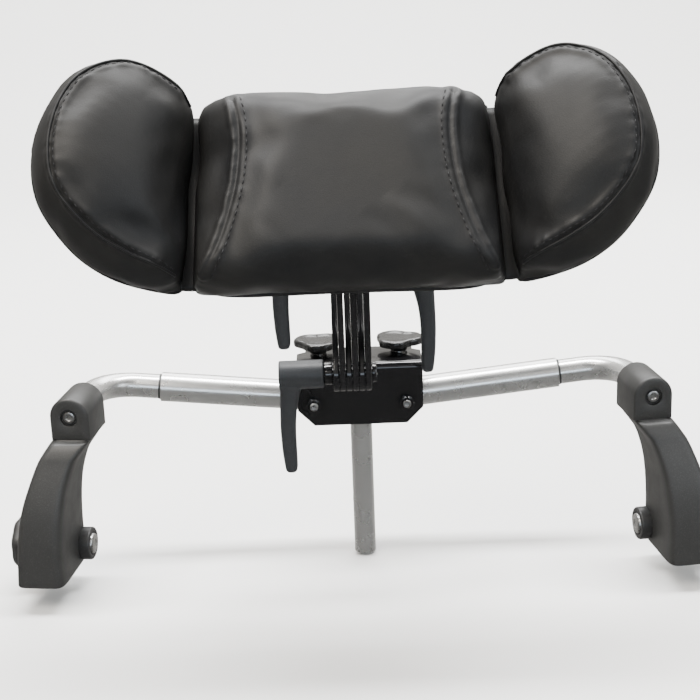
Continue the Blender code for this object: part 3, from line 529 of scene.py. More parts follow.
def center_depth(x, y):
    """Height of the centre cushion's face above its back."""
    seam, half = seam_x(y), center_half(y, THICK - SIDE_DROP)
    width = max(half - seam, 1.0)
    t = min(1.0, max(0.0, (abs(x) - seam) / width))
    depth = THICK - 1.0 - SIDE_DROP * min(1.0, width / 26) * t ** 1.6
    for room in (CENTER_TOP - y, y - CENTER_BOTTOM):
        if room < EDGE_RADIUS:
            depth -= EDGE_RADIUS - math.sqrt(max(0.0, EDGE_RADIUS ** 2 - (EDGE_RADIUS - max(room, 0)) ** 2))
    return max(depth, 4.0)


def center_cage():
    """The unstuffed centre cushion: a grid for the face, walls and a flat back."""
    bm = bmesh.new()
    columns, rows = 48, 32
    grid = []
    for j in range(rows + 1):
        v = 0.5 - 0.5 * math.cos(math.pi * j / rows)
        y = CENTER_BOTTOM + (CENTER_TOP - CENTER_BOTTOM) * v
        half = center_half(y, THICK - SIDE_DROP) - 0.6
        xs = [half * math.sin(math.pi / 2 * (2 * i / columns - 1)) for i in range(columns + 1)]
        grid.append([bm.verts.new((x, y, center_depth(x, y))) for x in xs])
    fill(bm, grid)
    edge = border(grid)
    back = []
    for v in edge:
        spread = center_half(v.co.y, 0) / center_half(v.co.y, THICK - SIDE_DROP)
        back.append(bm.verts.new((v.co.x * spread, v.co.y, 0)))
    count = len(edge)
    for i in range(count):
        j = (i + 1) % count
        bm.faces.new((edge[j], edge[i], back[i], back[j]))
    bm.faces.new(back)
    return bm


def tapered(points, spans=6):
    return [Vector((p.x - TAPER * p.y, p.y)) for p in smooth_path(points, spans)]


def rolled(x, z):
    """Lowers the face of a wing towards its crease, so that its inner edge is a soft roll."""
    return z - INNER_ROLL * max(0.0, 1 - x / ROLL_WIDTH) ** 2 if z > ROLL_START else z


def leaned(p, z, reach):
    """A wing's wall point at a height: the inner wall leans away from the crease towards the back."""
    return p.x - WING_LEAN * (THICK - z) * (1 - p.x / reach) + CREASE_GAP


def wing_cage():
    """The unstuffed wing: rings from the back edge over the boxing strip and the seam to a low dome."""
    edge, seam = tapered(WING_EDGE), tapered(WING_SEAM)
    middle = sum(seam, Vector((0, 0))) / len(seam)
    reach = max(p.x for p in edge)
    rings = []
    for z, t in ((0, 0.0), (10, 0.03), (24, 0.2), (36, 0.65), (WING_SEAM_RISE, 1.0)):
        walls = [p.lerp(q, t) for p, q in zip(edge, seam)]
        rings.append([Vector((leaned(p, z, reach), p.y, rolled(p.x, z))) for p in walls])
    crown = THICK - 2.5 - WING_SEAM_RISE
    for share in (0.94, 0.84, 0.68, 0.48, 0.25, 0.08):
        dome = WING_SEAM_RISE + crown * (1 - share ** 2.5)
        flat = [middle + (q - middle) * share for q in seam]
        rings.append([Vector((q.x + CREASE_GAP, q.y, rolled(q.x, dome))) for q in flat])
    return add_rings(bmesh.new(), rings)


CLOTH_FRAMES = 20
CLOTH = {"quality": 6, "mass": 0.25, "tension_stiffness": 12, "compression_stiffness": 12,
         "shear_stiffness": 4, "bending_stiffness": 0.6, "shrink_min": -0.035, "use_pressure": True,
         "uniform_pressure_force": 4.0, "vertex_group_mass": "held", "pin_stiffness": 1.0}


class Line:
    """A seam as closely spaced points in millimetres, with a quick search for the nearest one."""

    def __init__(self, path, at):
        self.points, self.along = [], []
        length = 0.0
        for a, b in zip(path, path[1:]):
            steps = max(1, int((b - a).length / 0.7))
            for i in range(steps):
                self.points.append(at @ a.lerp(b, i / steps) / MM)
                self.along.append(length + (b - a).length * i / steps)
            length += (b - a).length
        self.length = length
        self.tree = KDTree(len(self.points))
        for i, point in enumerate(self.points):
            self.tree.insert(point, i)
        self.tree.balance()

    def near(self, point):
        """Distance to the line, length along it, and the vector from the line, for a point in metres."""
        here = point / MM
        found, index, distance = self.tree.find(here)
        return distance, self.along[index], here - found


def inflate(obj, lines, at):
    """Cloth under pressure, held at its seams and its back."""
    group = obj.vertex_groups.new(name="held")
    inverse = at.inverted()
    start = [v.co.copy() for v in obj.data.vertices]
    for i, co in enumerate(start):
        gap = min(line.near(co)[0] for line in lines)
        back = (inverse @ co).z
        hold = max(1.0 - max(0.0, gap - 1.5) / 3.5, 1.0 if back < 2.5 else 0.0)
        if hold > 0:
            group.add([i], hold, "REPLACE")
    cloth = obj.modifiers.new("Cloth", "CLOTH")
    for key, value in CLOTH.items():
        setattr(cloth.settings, key, value)
    cloth.settings.effector_weights.gravity = 0
    cloth.collision_settings.use_collision = False
    cloth.point_cache.frame_start, cloth.point_cache.frame_end = 1, CLOTH_FRAMES
    scene = bpy.context.scene
    for number in range(1, CLOTH_FRAMES + 1):
        scene.frame_set(number)
    applied(obj)
    scene.frame_set(1)
    for vertex, co in zip(obj.data.vertices, start):
        move = vertex.co - co
        if move.length > CAP_MOVE * MM:
            vertex.co = co + move * (CAP_MOVE * MM / move.length)


def remeshed(name, bm, at, voxel):
    obj = add_object(name, mesh_of(name, bm, at))
    modify(obj, "REMESH", mode="VOXEL", voxel_size=voxel * MM)
    return applied(obj)


def stuffed(name, cage, lines, at):
    """A cover over its cage: remeshed, blown up as cloth, and refined."""
    obj = remeshed(name, cage, at, VOXEL)
    relax(obj, 2)
    inflate(obj, lines, at)
    relax(obj, 7, loose_cover(lines, at))
    levels = 2
    modify(obj, "SUBSURF", levels=levels, render_levels=levels)
    return applied(obj)


def relax(obj, rounds, free=None):
    """Smooths a mesh; free says which points may move."""
    bm = bmesh.new()
    bm.from_mesh(obj.data)
    verts = [v for v in bm.verts if free is None or free(v.co)]
    for _ in range(rounds):
        bmesh.ops.smooth_vert(bm, verts=verts, factor=0.5, use_axis_x=True, use_axis_y=True, use_axis_z=True)
    bm.to_mesh(obj.data)
    bm.free()


def loose_cover(lines, at):
    """Says whether a point is on loose cover: off the seams and off the back."""
    inverse = at.inverted()
    return lambda co: (inverse @ co).z > 5 and min(line.near(co)[0] for line in lines) > 4


def clear_of_crease(obj, side, sign):
    """Keeps a cushion on its own side of a crease; sign is 1 for a wing and -1 for the centre."""
    inverse = PAD.inverted()
    for vertex in obj.data.vertices:
        p = inverse @ vertex.co
        wall = CREASE_X - TAPER * p.y + (THICK - p.z) * CREASE_LEAN
        over = (wall + sign * CREASE_GAP) - side * p.x
        if sign * over > 0:
            vertex.co += X * (side * over * MM)


def shift(obj, moves):
    for vertex, move in zip(obj.data.vertices, moves):
        vertex.co += move


def sew(obj, lines, depth, width=1.7):
    """Draws the cover in along its seams, with a soft roll on both sides."""
    moves = []
    for vertex in obj.data.vertices:
        push = 0.0
        for line in lines:
            gap = line.near(vertex.co)[0]
            push -= depth * math.exp(-(gap / width) ** 2)
            push += 0.35 * depth * math.exp(-((gap - 2.4 * width) / (1.3 * width)) ** 2)
        moves.append(vertex.normal * (push * MM))
    shift(obj, moves)


def pucker(obj, line, at, size=0.45, reach=6.0):
    """Gathers in the boxing strip beside a wing's seam: short irregular folds across it."""
    inverse = at.inverted()
    moves = []
    for vertex in obj.data.vertices:
        gap, along, away = line.near(vertex.co)
        strip = min(1.0, max(0.0, (WING_SEAM_RISE + 1.0 - (inverse @ vertex.co).z) / 2))
        fade = math.exp(-(gap / reach) ** 2) * strip
        phase = along / 11.0 + 0.8 * noise.noise(Vector((along / 17.0, 3.1, at.translation.x * 9)))
        swell = 0.55 + 0.9 * noise.noise(Vector((along / 13.0, 7.7, at.translation.x * 5)))
        moves.append(vertex.normal * (size * fade * swell * math.sin(2 * math.pi * phase) * MM))
    shift(obj, moves)


def crease_folds(obj, at, folds):
    """Soft stretch folds: each is (x0, y0, x1, y1, depth, width) on the face."""
    inverse = at.inverted()
    for vertex in obj.data.vertices:
        p = inverse @ vertex.co
        if p.z < 20:
            continue
        push = 0.0
        for x0, y0, x1, y1, depth, width in folds:
            start, run = Vector((x0, y0)), Vector((x1 - x0, y1 - y0))
            here = Vector((p.x, p.y)) - start
            t = here.dot(run) / run.length_squared
            if -0.1 < t < 1.1:
                bend = 0.06 * run.length * math.sin(math.pi * t)
                off = here.cross(run) / run.length + bend
                fade = max(0.0, math.sin(math.pi * min(1, max(0, t))))
                push += depth * math.exp(-(off / width) ** 2) * fade
        vertex.co += at.to_3x3() @ Vector((0, 0, push))


def face_point(tree, at, x, y):
    """Where a line straight into the face meets the cover: place and normal, in metres."""
    start = at @ Vector((x, y, THICK * 2))
    aim = (at.to_3x3() @ Vector((0, 0, -1))).normalized()
    place, normal, _, _ = tree.ray_cast(start, aim)
    return place, normal


def tree_of(obj):
    bm = bmesh.new()
    bm.from_mesh(obj.data)
    tree = BVHTree.FromBMesh(bm)
    bm.free()
    return tree


def stitches(name, obj, path, at, body, pitch, length, radius):
    """Short lengths of thread, each dipping into the cover at both ends."""
    tree = tree_of(obj)
    bm = bmesh.new()
    placed, travelled = 0, 0.0
    for a, b in zip(path, path[1:]):
        run = (b - a).length
        while placed * pitch < travelled + run:
            middle = a.lerp(b, (placed * pitch - travelled) / run)
            aim = (b - a).normalized() * (length / 2)
            ends = [face_point(tree, at, *(middle + aim * s)) for s in (-1, -0.55, 0, 0.55, 1)]
            placed += 1
            if any(place is None for place, _ in ends):
                continue
            lift = (-0.9, 0.15, 0.45, 0.15, -0.9)
            points = [place / MM + normal * (up * radius) for (place, normal), up in zip(ends, lift)]
            sweep(bm, points, [radius * k for k in (0.6, 1, 1, 1, 0.6)], 8)
        travelled += run
    return piece(name, bm, WORLD, body, "leatherette", THREAD, sharp=None)


def cord(name, path, radius, at, body, loop=False):
    piece(name, sweep(bmesh.new(), path, radius, 12, loop), at, body, "leatherette", PIPING, sharp=None)


def welt(name, obj, path, at, body, radius=0.9):
    """A thin cord caught in a seam."""
    tree = tree_of(obj)
    points = []
    for p in path:
        place, normal = face_point(tree, at, p.x, p.y)
        if place is not None:
            points.append(place / MM + normal * (radius * 0.35))
    for _ in range(4):
        points[1:-1] = [(a + b * 2 + c) / 4 for a, b, c in zip(points, points[1:], points[2:])]
    cord(name, points, radius, WORLD, body)


def offset_path(path, distance):
    """A flat path moved sideways."""
    moved = []
    for i, p in enumerate(path):
        along = (path[min(i + 1, len(path) - 1)] - path[max(i - 1, 0)]).normalized()
        moved.append(p + Vector((-along.y, along.x)) * distance)
    return moved


def piping(name, loop, at, body, radius=2.1):
    """A cord sewn round a cover's back edge."""
    loop = even_loop(loop, 3)
    for _ in range(5):
        loop = [(a + b * 2 + c) / 4 for a, b, c in zip(loop[-1:] + loop[:-1], loop, loop[1:] + loop[:1])]
    middle = sum(loop, Vector((0, 0))) / len(loop)
    path = [Vector((*(p + (middle - p).normalized() * PIPING_INSET), PIPING_RISE)) for p in loop]
    cord(name, path, radius, at, body, True)


def even_loop(loop, spacing):
    """The loop's points again, at even distances."""
    closed = loop + loop[:1]
    lengths = [0.0]
    for a, b in zip(closed, closed[1:]):
        lengths.append(lengths[-1] + (b - a).length)
    count = max(12, int(lengths[-1] / spacing))
    result, k = [], 0
    for i in range(count):
        goal = lengths[-1] * i / count
        while lengths[k + 1] < goal:
            k += 1
        result.append(closed[k].lerp(closed[k + 1], (goal - lengths[k]) / (lengths[k + 1] - lengths[k])))
    return result


def build_center_cushion():
    lines, seams = [], []
    for side, name in SIDES:
        path = [Vector((side * p.x, p.y)) for p in smooth_path(SEAM_CENTER, SEAM_SPANS)]
        seams.append((side, name, path))
        over = [Vector((p.x, p.y, center_depth(p.x, p.y))) for p in path]
        rise = [Vector((over[0].x, CENTER_TOP, z)) for z in (2, 20)]
        lines.append(Line(rise + over, PAD))
    obj = stuffed("center_cushion", center_cage(), lines, PAD)
    sew(obj, lines, 1.5)
    crease_folds(obj, PAD, CENTER_FOLDS)
    for side, name in SIDES:
        clear_of_crease(obj, side, -1)
    finish_piece(obj, "pad", "leatherette", LEATHER, ("center_cover", "center_foam"), sharp=None)
    for side, name, path in seams:
        inner = [p for p in offset_path(path, -side * 5.2) if p.y < CENTER_TOP - 6]
        stitches(name + "_center_topstitch", obj, inner, PAD, "pad", 5.0, 3.5, 0.42)
    middle = (CENTER_TOP + CENTER_BOTTOM) / 2
    loop = []
    for x, y in superellipse(1.0, 1.0, 120, 9.0):
        y = middle + y * (CENTER_TOP - CENTER_BOTTOM) / 2
        loop.append(Vector((x * (center_half(y, 0) - 1.0), y)))
    piping("center_back_piping", loop, PAD, "pad")


CENTER_FOLDS = (
    (22, -12, 52, -40, 0.9, 5.0), (10, -20, 40, -50, -0.8, 6.0), (34, -6, 62, -30, -0.6, 5.0),
    (-40, 46, 6, 40, -0.6, 4.5), (-30, 38, 22, 47, 0.5, 5.0), (-56, -20, -30, -50, -0.6, 6.0),
    (-12, -40, 14, -56, 0.5, 5.0), (-60, 20, -40, -4, 0.5, 6.0),
)
WING_FOLDS = ((14, -30, 40, -42, -0.7, 6.0), (8, 40, 30, 56, 0.5, 7.0), (20, -10, 12, 24, -0.6, 7.0))


def build_wing(side, name):
    at, body = wing_matrix(side), name + "_wing"
    seam = [p + Vector((CREASE_GAP, 0)) for p in tapered(WING_SEAM, SEAM_SPANS)]
    line = Line([Vector((p.x, p.y, WING_SEAM_RISE)) for p in seam], at)
    obj = stuffed(body + "_cushion", wing_cage(), [line], at)
    sew(obj, [line], 1.3)
    pucker(obj, line, at)
    crease_folds(obj, at, WING_FOLDS)
    clear_of_crease(obj, side, 1)
    finish_piece(obj, body, "leatherette", LEATHER, (body + "_cover", body + "_foam"), sharp=None)
    welt(body + "_welt", obj, seam, at, body)
    inner = [p for p in offset_path(seam, -2.6) if p.x > 10]
    stitches(body + "_stitches", obj, inner, at, body, 4.6, 3.0, 0.34)
    edge = tapered(WING_EDGE)
    reach = max(p.x for p in edge)
    piping(body + "_back_piping", [Vector((leaned(p, 0, reach), p.y)) for p in edge], at, body)
    build_crease_panel(side, name)


def build_crease_panel(side, name):
    """A soft strip sewn between the covers that closes the bottom of a crease."""
    rows, columns = 24, 12
    top, bottom = CENTER_TOP - 6, CENTER_BOTTOM + 3
    bm = bmesh.new()
    rims = []
    for lift in (0.0, 1.4):
        grid = []
        for j in range(rows + 1):
            y = bottom + (top - bottom) * j / rows
            row = []
            for i in range(columns + 1):
                across = -PANEL_HALF + 2 * PANEL_HALF * i / columns
                x = CREASE_X - TAPER * y + (THICK - PANEL_DEPTH) * CREASE_LEAN + across
                z = PANEL_DEPTH + lift - 3.0 * math.cos(math.pi / 2 * across / PANEL_HALF)
                row.append(bm.verts.new((side * x, y, z)))
            grid.append(row)
        fill(bm, grid)
        rims.append(border(grid))
    lower, upper = rims
    for i in range(len(lower)):
        j = (i + 1) % len(lower)
        bm.faces.new((lower[i], lower[j], upper[j], upper[i]))
    obj = piece(name + "_crease_panel", bm, PAD, None, "leatherette", LEATHER, sharp=None)
    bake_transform(obj)


# ---- crossbar, stem and end tubes -----------------------------------------------------------------
BAR_RADIUS = 11.0
BAR_Y = -15.0
BAR_BEND = 15.0
BAR_SLOPE = 0.104
BAR_HALF = 149.0
END_RADIUS = 9.15
END_INNER_X = 98.0
END_BEND_RADIUS = 32.0
ARM_YAW = math.radians(7.5)
ARM_X, ARM_Y = 204.5, -95.0
STEM_RADIUS = 8.0
STEM_Y = -34.4


def bar_height(x):
    return BAR_SLOPE * (math.hypot(x, BAR_BEND) - BAR_BEND)


def tube(name, path, radius, wall, body, node):
    """A hollow aluminium tube with slightly rounded rims."""
    rim = 0.45
    ahead, behind = (path[-1] - path[-2]).normalized(), (path[0] - path[1]).normalized()
    path = [path[0], path[0] - behind * rim] + path[1:-1] + [path[-1] - ahead * rim, path[-1]]
    middle = len(path) - 2
    outer = [radius - rim] + [radius] * middle + [radius - rim]
    inner = [radius - wall + rim] + [radius - wall] * middle + [radius - wall + rim]
    piece(name, shell(path, outer, inner), WORLD, body, "aluminium", replaces=(node,), sharp=40)


def fillet(start, corner, end, radius, steps):
    """A path from start to end with its corner rounded."""
    back, ahead = (start - corner).normalized(), (end - corner).normalized()
    half = back.angle(ahead) / 2
    reach = radius / math.tan(half)
    center = corner + (back + ahead).normalized() * (radius / math.sin(half))
    first, last = corner + back * reach - center, corner + ahead * reach - center
    turn = first.angle(last)
    points = [start]
    for i in range(steps + 1):
        t = i / steps
        blend = first * math.sin((1 - t) * turn) + last * math.sin(t * turn)
        points.append(center + blend / math.sin(turn))
    return points + [end]


def build_crossbar():
    path = [Vector((x, BAR_Y, bar_height(x))) for x in (BAR_HALF * (i / 14 - 1) for i in range(29))]
    tube("crossbar", path, BAR_RADIUS, 1.5, "bracket", "crossbar_tube")


def end_corner(side):
    x = ARM_X + (ARM_Y - BAR_Y) * math.tan(ARM_YAW)
    slope = (bar_height(BAR_HALF) - bar_height(END_INNER_X)) / (BAR_HALF - END_INNER_X)
    return Vector((side * x, BAR_Y, bar_height(END_INNER_X) + slope * (x - END_INNER_X)))


def arm_ahead(side):
    return Vector((side * math.sin(ARM_YAW), -math.cos(ARM_YAW), 0))


def arm_cap(side):
    ahead = arm_ahead(side)
    return end_corner(side) + ahead * ((ARM_Y - BAR_Y) / ahead.y)


def build_end_tube(side, name):
    start = Vector((side * END_INNER_X, BAR_Y, bar_height(END_INNER_X)))
    path = fillet(start, end_corner(side), arm_cap(side) - arm_ahead(side) * 4.5, END_BEND_RADIUS, 22)
    tube(name + "_end", path, END_RADIUS, 1.3, name + "_end", name + "_end_tube")
    bush = [Vector((side * x, BAR_Y, bar_height(x))) for x in (BAR_HALF - 6, BAR_HALF + 1.2, BAR_HALF + 1.6)]
    sleeve = shell(bush, [END_RADIUS + 0.25] * 3, [END_RADIUS + 0.06] * 3)
    piece(name + "_tube_bush", sleeve, WORLD, "bracket", "black_plastic", sharp=40)


def build_stem():
    bottom, top = low("stem_rod").z, high("stem_rod").z
    path = [Vector((0, STEM_Y, z)) for z in (bottom, (bottom + top) / 2, top)]
    tube("stem_tube", path, STEM_RADIUS, 1.5, "stem", "stem_rod")
    profile = [(r, bottom + z) for r, z in ((0, 12), (6.2, 12), (6.2, 0.6), (5, 0.2), (0, 0.2))]
    plug = turned(rounded(profile, 0.6))
    piece("stem_plug", plug, upright(0, STEM_Y), "stem", "black_plastic", replaces=("stem_end_cap",))


# ---- end arms --------------------------------------------------------------------------------------
BOSS_RADIUS = 14.0
BOSS_LENGTH = 40.0
BOSS_DROP = 17.0
ARM_DROP = 118.0
ARM_STATIONS = (
    (10.0, 0.0, 12.4, 1.2, 38.6), (16.4, 0.5, 13.4, 0.6, 38.9), (19.4, 2.2, 13.9, -4.2, 38.3),
    (26.0, 6.8, 13.8, -8.2, 36.6), (33.0, 11.0, 13.7, -11.0, 35.5), (48.0, 16.0, 14.3, -17.0, 33.5),
    (66.0, 20.0, 15.8, -22.5, 33.0), (90.0, 22.6, 16.8, -26.5, 34.5),
    (ARM_DROP - 1.2, 23.5, 17.8, -27.9, 35.9), (ARM_DROP - 0.3, 23.6, 17.5, -27.6, 35.6),
    (ARM_DROP, 23.6, 16.8, -26.9, 34.9),
)
SOCKET_RADIUS = 10.0
SOCKET_X, SOCKET_Y = 22.5, -5.0
PIVOT_Y, PIVOT_DROP = 23.0, 105.0
PIVOT_SEAT = 7.7                       # the ring's face on the milled seat, from the cap's middle plane
KNOB_SEAT = 41.8


def boss_outline(inset, count):
    """The boss's D shape as seen from the front, shrunk by an inset, sampled evenly by angle."""
    points = []
    radius, drop = BOSS_RADIUS - inset, BOSS_DROP - inset
    for a in angles(count):
        c, s = math.cos(a), math.sin(a)
        reach = radius if s >= 0 else min(radius / max(abs(c), 1e-6), drop / -s)
        points.append((reach * c, reach * s))
    return points


def build_arm(side, name):
    """An arm in two mouldings: the boss on the end tube and the curved leg below its step line."""
    at = local_frame(arm_cap(side), X * (side * math.cos(ARM_YAW)) + Y * math.sin(ARM_YAW),
                     -arm_ahead(side), Z)
    body = name + "_end"
    count = 72
    rings = []
    for y, inset in ((BOSS_LENGTH, 1.4), (BOSS_LENGTH - 0.4, 0.5), (BOSS_LENGTH - 1.4, 0.0), (1.8, 0.0),
                     (0.6, 0.45), (0.0, 1.6)):
        rings.append([Vector((x, y, z)) for x, z in boss_outline(inset, count)])
    for y, radius in ((0.0, 6.9), (0.35, 6.3), (2.5, 6.1), (2.5, 3.0), (8.0, 3.0)):
        rings.append([Vector((p.x, y, p.y)) for p in ring(radius, 0, count)])
    boss = add_rings(bmesh.new(), rings)
    piece(name + "_arm_boss", boss, at, body, "arm_plastic", replaces=(name + "_arm",), sharp=50)
    rings = []
    for drop, offset, half, front, rear in smooth_stations(ARM_STATIONS, 4):
        outline = superellipse(half, (rear - front) / 2, 64, 7.0)
        rings.append([Vector((offset + x, (front + rear) / 2 + y, -drop)) for x, y in outline])
    for radius, depth in ((SOCKET_RADIUS + 0.8, 0), (SOCKET_RADIUS, 0.8), (SOCKET_RADIUS, 55)):
        rings.append([Vector((SOCKET_X + x, SOCKET_Y + y, depth - ARM_DROP))
                      for x, y in circle_like(rings[-1], radius)])
    piece(name + "_arm_leg", add_rings(bmesh.new(), rings), at, body, "arm_plastic", sharp=50)
    build_arm_screw(name, at, body)
    build_arm_pivot(name, at, body)


def circle_like(section, radius):
    """A circle whose points keep the directions of a section's points."""
    middle = sum(section, Vector()) / len(section)
    points = []
    for p in section:
        a = math.atan2(p.y - middle.y, p.x - middle.x)
        points.append((radius * math.cos(a), radius * math.sin(a)))
    return points


def smooth_stations(stations, spans):
    """The stations again with smooth ones between them; the last two, at the tip, follow as they are."""
    body, tip = stations[:-2], stations[-2:]
    ends = [body[0], *body, body[-1]]
    dense = []
    for i in range(len(body) - 1):
        for step in range(spans):
            dense.append(tuple(between(*values, step / spans) for values in zip(*ends[i:i + 4])))
    return dense + [body[-1]] + list(tip)


def socket_head(profile, hex_half, depth, top):
    """A turned screw whose top has a hexagon socket: profile runs from the tip to the head's rim."""
    rings = [ring(max(r, 0.02), z) for r, z in profile]
    rings.append(ring(hex_half * 1.25, top))
    rings += [ring(hex_half, z, shape=hexagon) for z in (top - 0.3, top - depth)]
    return add_rings(bmesh.new(), rings)


def build_arm_screw(name, at, body):
    frame_at = at @ Matrix.Rotation(math.radians(90), 4, "X")
    profile = [(0, -32), (2.6, -32), (2.6, -2.2), (4.0, -2.2), (4.2, -1.9), (4.2, -1.2), (3.9, -0.7),
               (3.3, -0.5)]
    piece(name + "_cap_screw", socket_head(profile, 1.9, 1.4, -0.5), frame_at, body, "zinc",
          replaces=(name + "_arm_screw",), sharp=30)


KNOB_PROFILE = ((4.3, 0), (14.5, 0), (18.6, 1.2), (20.2, 3.2), (20.5, 5), (20.5, 8.5), (19.9, 10.4),
                (18.4, 11.9), (16.0, 12.5), (13.0, 12.5), (12.4, 12.0), (4.3, 11.7))


def fluted(a):
    """Eight shallow grips round a knob."""
    return 1 - 0.022 * (1 + math.cos(8 * a)) ** 1.3


def build_arm_pivot(name, at, body):
    """The chair pivot: a black ring and a bright bolt head inside, a round clamping knob outside."""
    pivot = at @ Matrix.Translation((0, PIVOT_Y, -PIVOT_DROP)) @ Matrix.Rotation(math.radians(90), 4, "Y")
    seat, base = PIVOT_SEAT, KNOB_SEAT + 0.3
    profile = rounded([(8.0, seat), (12.0, seat), (12.0, -1.0), (11.2, -2.0), (8.8, -2.0), (8.0, -1.2)], 0.4)
    piece(name + "_ring", turned(profile, 64, True), pivot, body, "black_plastic",
          replaces=(name + "_pivot_ring",), sharp=35)
    profile = [(0, KNOB_SEAT + 9), (4, KNOB_SEAT + 9), (4, seat), (7.6, seat), (7.6, -2.0), (7.2, -2.7),
               (6.2, -3.2), (3.4, -3.3), (3.0, -2.9), (2.2, -2.7), (0, -2.6)]
    piece(name + "_bolt", turned(profile, 64), pivot, body, "zinc",
          replaces=(name + "_pivot_bolt",), sharp=35)
    rings = [ring(r, base + z, 96, fluted if r > 15 else None) for r, z in KNOB_PROFILE]
    piece(name + "_clamp_knob", add_rings(bmesh.new(), rings, True), pivot, name + "_hand_knob_turning",
          "arm_plastic", replaces=(name + "_hand_knob",), sharp=40)


# ---- bracket, knobs and set screws --------------------------------------------------------------
PLATE = 3.0
BRACKET_HALF, REAR_HALF = 46.0, 40.0
BRACKET_TOP, BRACKET_BOTTOM = 36.2, -10.5
BRACKET_FRONT = -47.0
LIP_BOTTOM, LIP_FRONT, LIP_HALF = -17.0, -22.0, 35.0
CORNER_CUT = 12.0
KNOB_X, KNOB_Y = 30.0, -16.5
SET_SCREW_X, SET_SCREW_Z = 34.0, 5.5


def build_bracket():
    """A bent sheet: front plate with cut lower corners, top, rear plate and a short lip."""
    half = PLATE / 2
    front, top, rear, lip = BRACKET_FRONT + half, BRACKET_TOP - half, -half, LIP_BOTTOM + half
    rows = ((front, BRACKET_BOTTOM, BRACKET_HALF - CORNER_CUT),
            (front, BRACKET_BOTTOM + CORNER_CUT, BRACKET_HALF), (front, top, BRACKET_HALF),
            (-16 - half, top, BRACKET_HALF), (-13, top, REAR_HALF), (rear, top, REAR_HALF),
            (rear, lip, LIP_HALF), (LIP_FRONT, lip, LIP_HALF))
    bm = bmesh.new()
    layers = [[bm.verts.new((x * width, y, z)) for x in (-1, -0.5, 0, 0.5, 1)] for y, z, width in rows]
    fill(bm, layers)
    obj = piece("bracket_shell", bm, WORLD, "bracket", "black_paint", replaces=("bracket_body",), sharp=None)
    modify(obj, "BEVEL", width=3.4 * MM, segments=5, angle_limit=math.radians(40))
    modify(obj, "SOLIDIFY", thickness=PLATE * MM, offset=0.0, use_even_offset=True)
    applied(obj)
    holes = [(upright(0, STEM_Y), STEM_RADIUS + 0.6, 20, 50)]
    for side, _ in SIDES:
        holes.append((upright(side * KNOB_X, KNOB_Y), 3.5, 20, 50))
        holes.append((set_screw_frame(side), 3.4, -10, 10))
    drill(obj, holes)
    modify(obj, "BEVEL", width=0.5 * MM, segments=3, angle_limit=math.radians(50))
    applied(obj)
    obj.data.shade_smooth()
    obj.data.set_sharp_from_angle(angle=math.radians(40))


def set_screw_frame(side):
    return axis_frame(Vector((side * SET_SCREW_X, BRACKET_FRONT, SET_SCREW_Z)), -Y)


def drill(obj, holes):
    """Cuts round holes, each (frame, radius, start, end) along the frame's z."""
    bits = []
    for at, radius, start, end in holes:
        bit = add_object("bit", mesh_of("bit", turned([(radius, start), (radius, end)]), at))
        modify(obj, "BOOLEAN", object=bit, operation="DIFFERENCE", solver="EXACT")
        bits.append(bit)
    applied(obj)
    for bit in bits:
        bpy.data.objects.remove(bit)


def star(lobe):
    return lambda a: 1 + lobe * math.cos(3 * a) - lobe * 0.25 * math.cos(6 * a)


def build_knob(side, name):
    at = upright(side * KNOB_X, KNOB_Y)
    turn = at @ Matrix.Rotation(math.radians(35 if side < 0 else 5), 4, "Z")
    levels = ((4.6, 37.0, 0), (6.2, 37.0, 0), (6.4, 38.0, 0), (6.6, 39.4, 0.01), (8.0, 40.6, 0.04),
              (11.5, 41.3, 0.08), (15.4, 41.7, 0.11), (16.6, 42.2, 0.11), (17.0, 43.2, 0.11),
              (17.0, 45.4, 0.11), (16.7, 46.4, 0.11), (15.9, 47.1, 0.11), (14.6, 47.4, 0.11),
              (12.0, 47.45, 0.10), (11.2, 47.0, 0.08), (6.0, 46.7, 0.02), (0.05, 46.6, 0))
    rings = [ring(r, z, 96, star(lobe)) for r, z, lobe in levels]
    piece(name + "_knob", add_rings(bmesh.new(), rings), turn, name + "_knob", "gloss_plastic",
          replaces=(name + "_star_knob",), sharp=40)
    profile = [(0, 21.0), (2.5, 21.0), (3.0, 21.5), *thread_profile(22.0, 37.0, 3.0), (3.0, 44.0), (0, 44.0)]
    piece(name + "_threaded_stud", turned(profile, 32), at, name + "_knob", "zinc",
          replaces=(name + "_stud",), sharp=25)


def thread_profile(start, end, radius, pitch=1.25, depth=0.32):
    """Crests and roots of a screw thread, as rings."""
    profile, z = [], start
    while z < end:
        profile += [(radius - depth, z), (radius, z + pitch * 0.4), (radius, z + pitch * 0.6)]
        z += pitch
    return profile


def build_set_screw(side, name):
    at = set_screw_frame(side)
    profile = [(0, BRACKET_FRONT + 26.4), (2.2, BRACKET_FRONT + 26.4), (3.0, BRACKET_FRONT + 27.4), (3.0, -1)]
    profile += thread_profile(4.0, 5.0, 3.0) + [(3.0, 5.3), (2.5, 5.8)]
    piece(name + "_grub_screw", socket_head(profile, 1.5, 2.2, 5.8), at, "bracket", "zinc",
          replaces=(name + "_set_screw",), sharp=30)
    levels = ((3.1, 0.1, None), (5.0, 0.1, None), (5.15, 0.5, hexagon), (5.15, 3.7, hexagon),
              (4.9, 4.3, None), (3.7, 4.4, None), (3.1, 3.9, None))
    rings = [ring(r, z, 72, shape) for r, z, shape in levels]
    piece(name + "_nut", add_rings(bmesh.new(), rings, True), at, "bracket", "black_paint",
          replaces=(name + "_lock_nut",), sharp=30)


# ---- linkage ---------------------------------------------------------------------------------------
STEM_PIVOT, KNEE, PAD_PIVOT = spot("stem_link_tilt"), spot("knee_tilt"), spot("pad_tilt")
PITCH = 4.48
LINK_PLATE = 4.0
LINK_END = 13.0
BOLT_HOLE = 4.35
BANANA_BULGE = 8.0
STACK = 3 * PITCH
STEM_COLLAR = 9.0


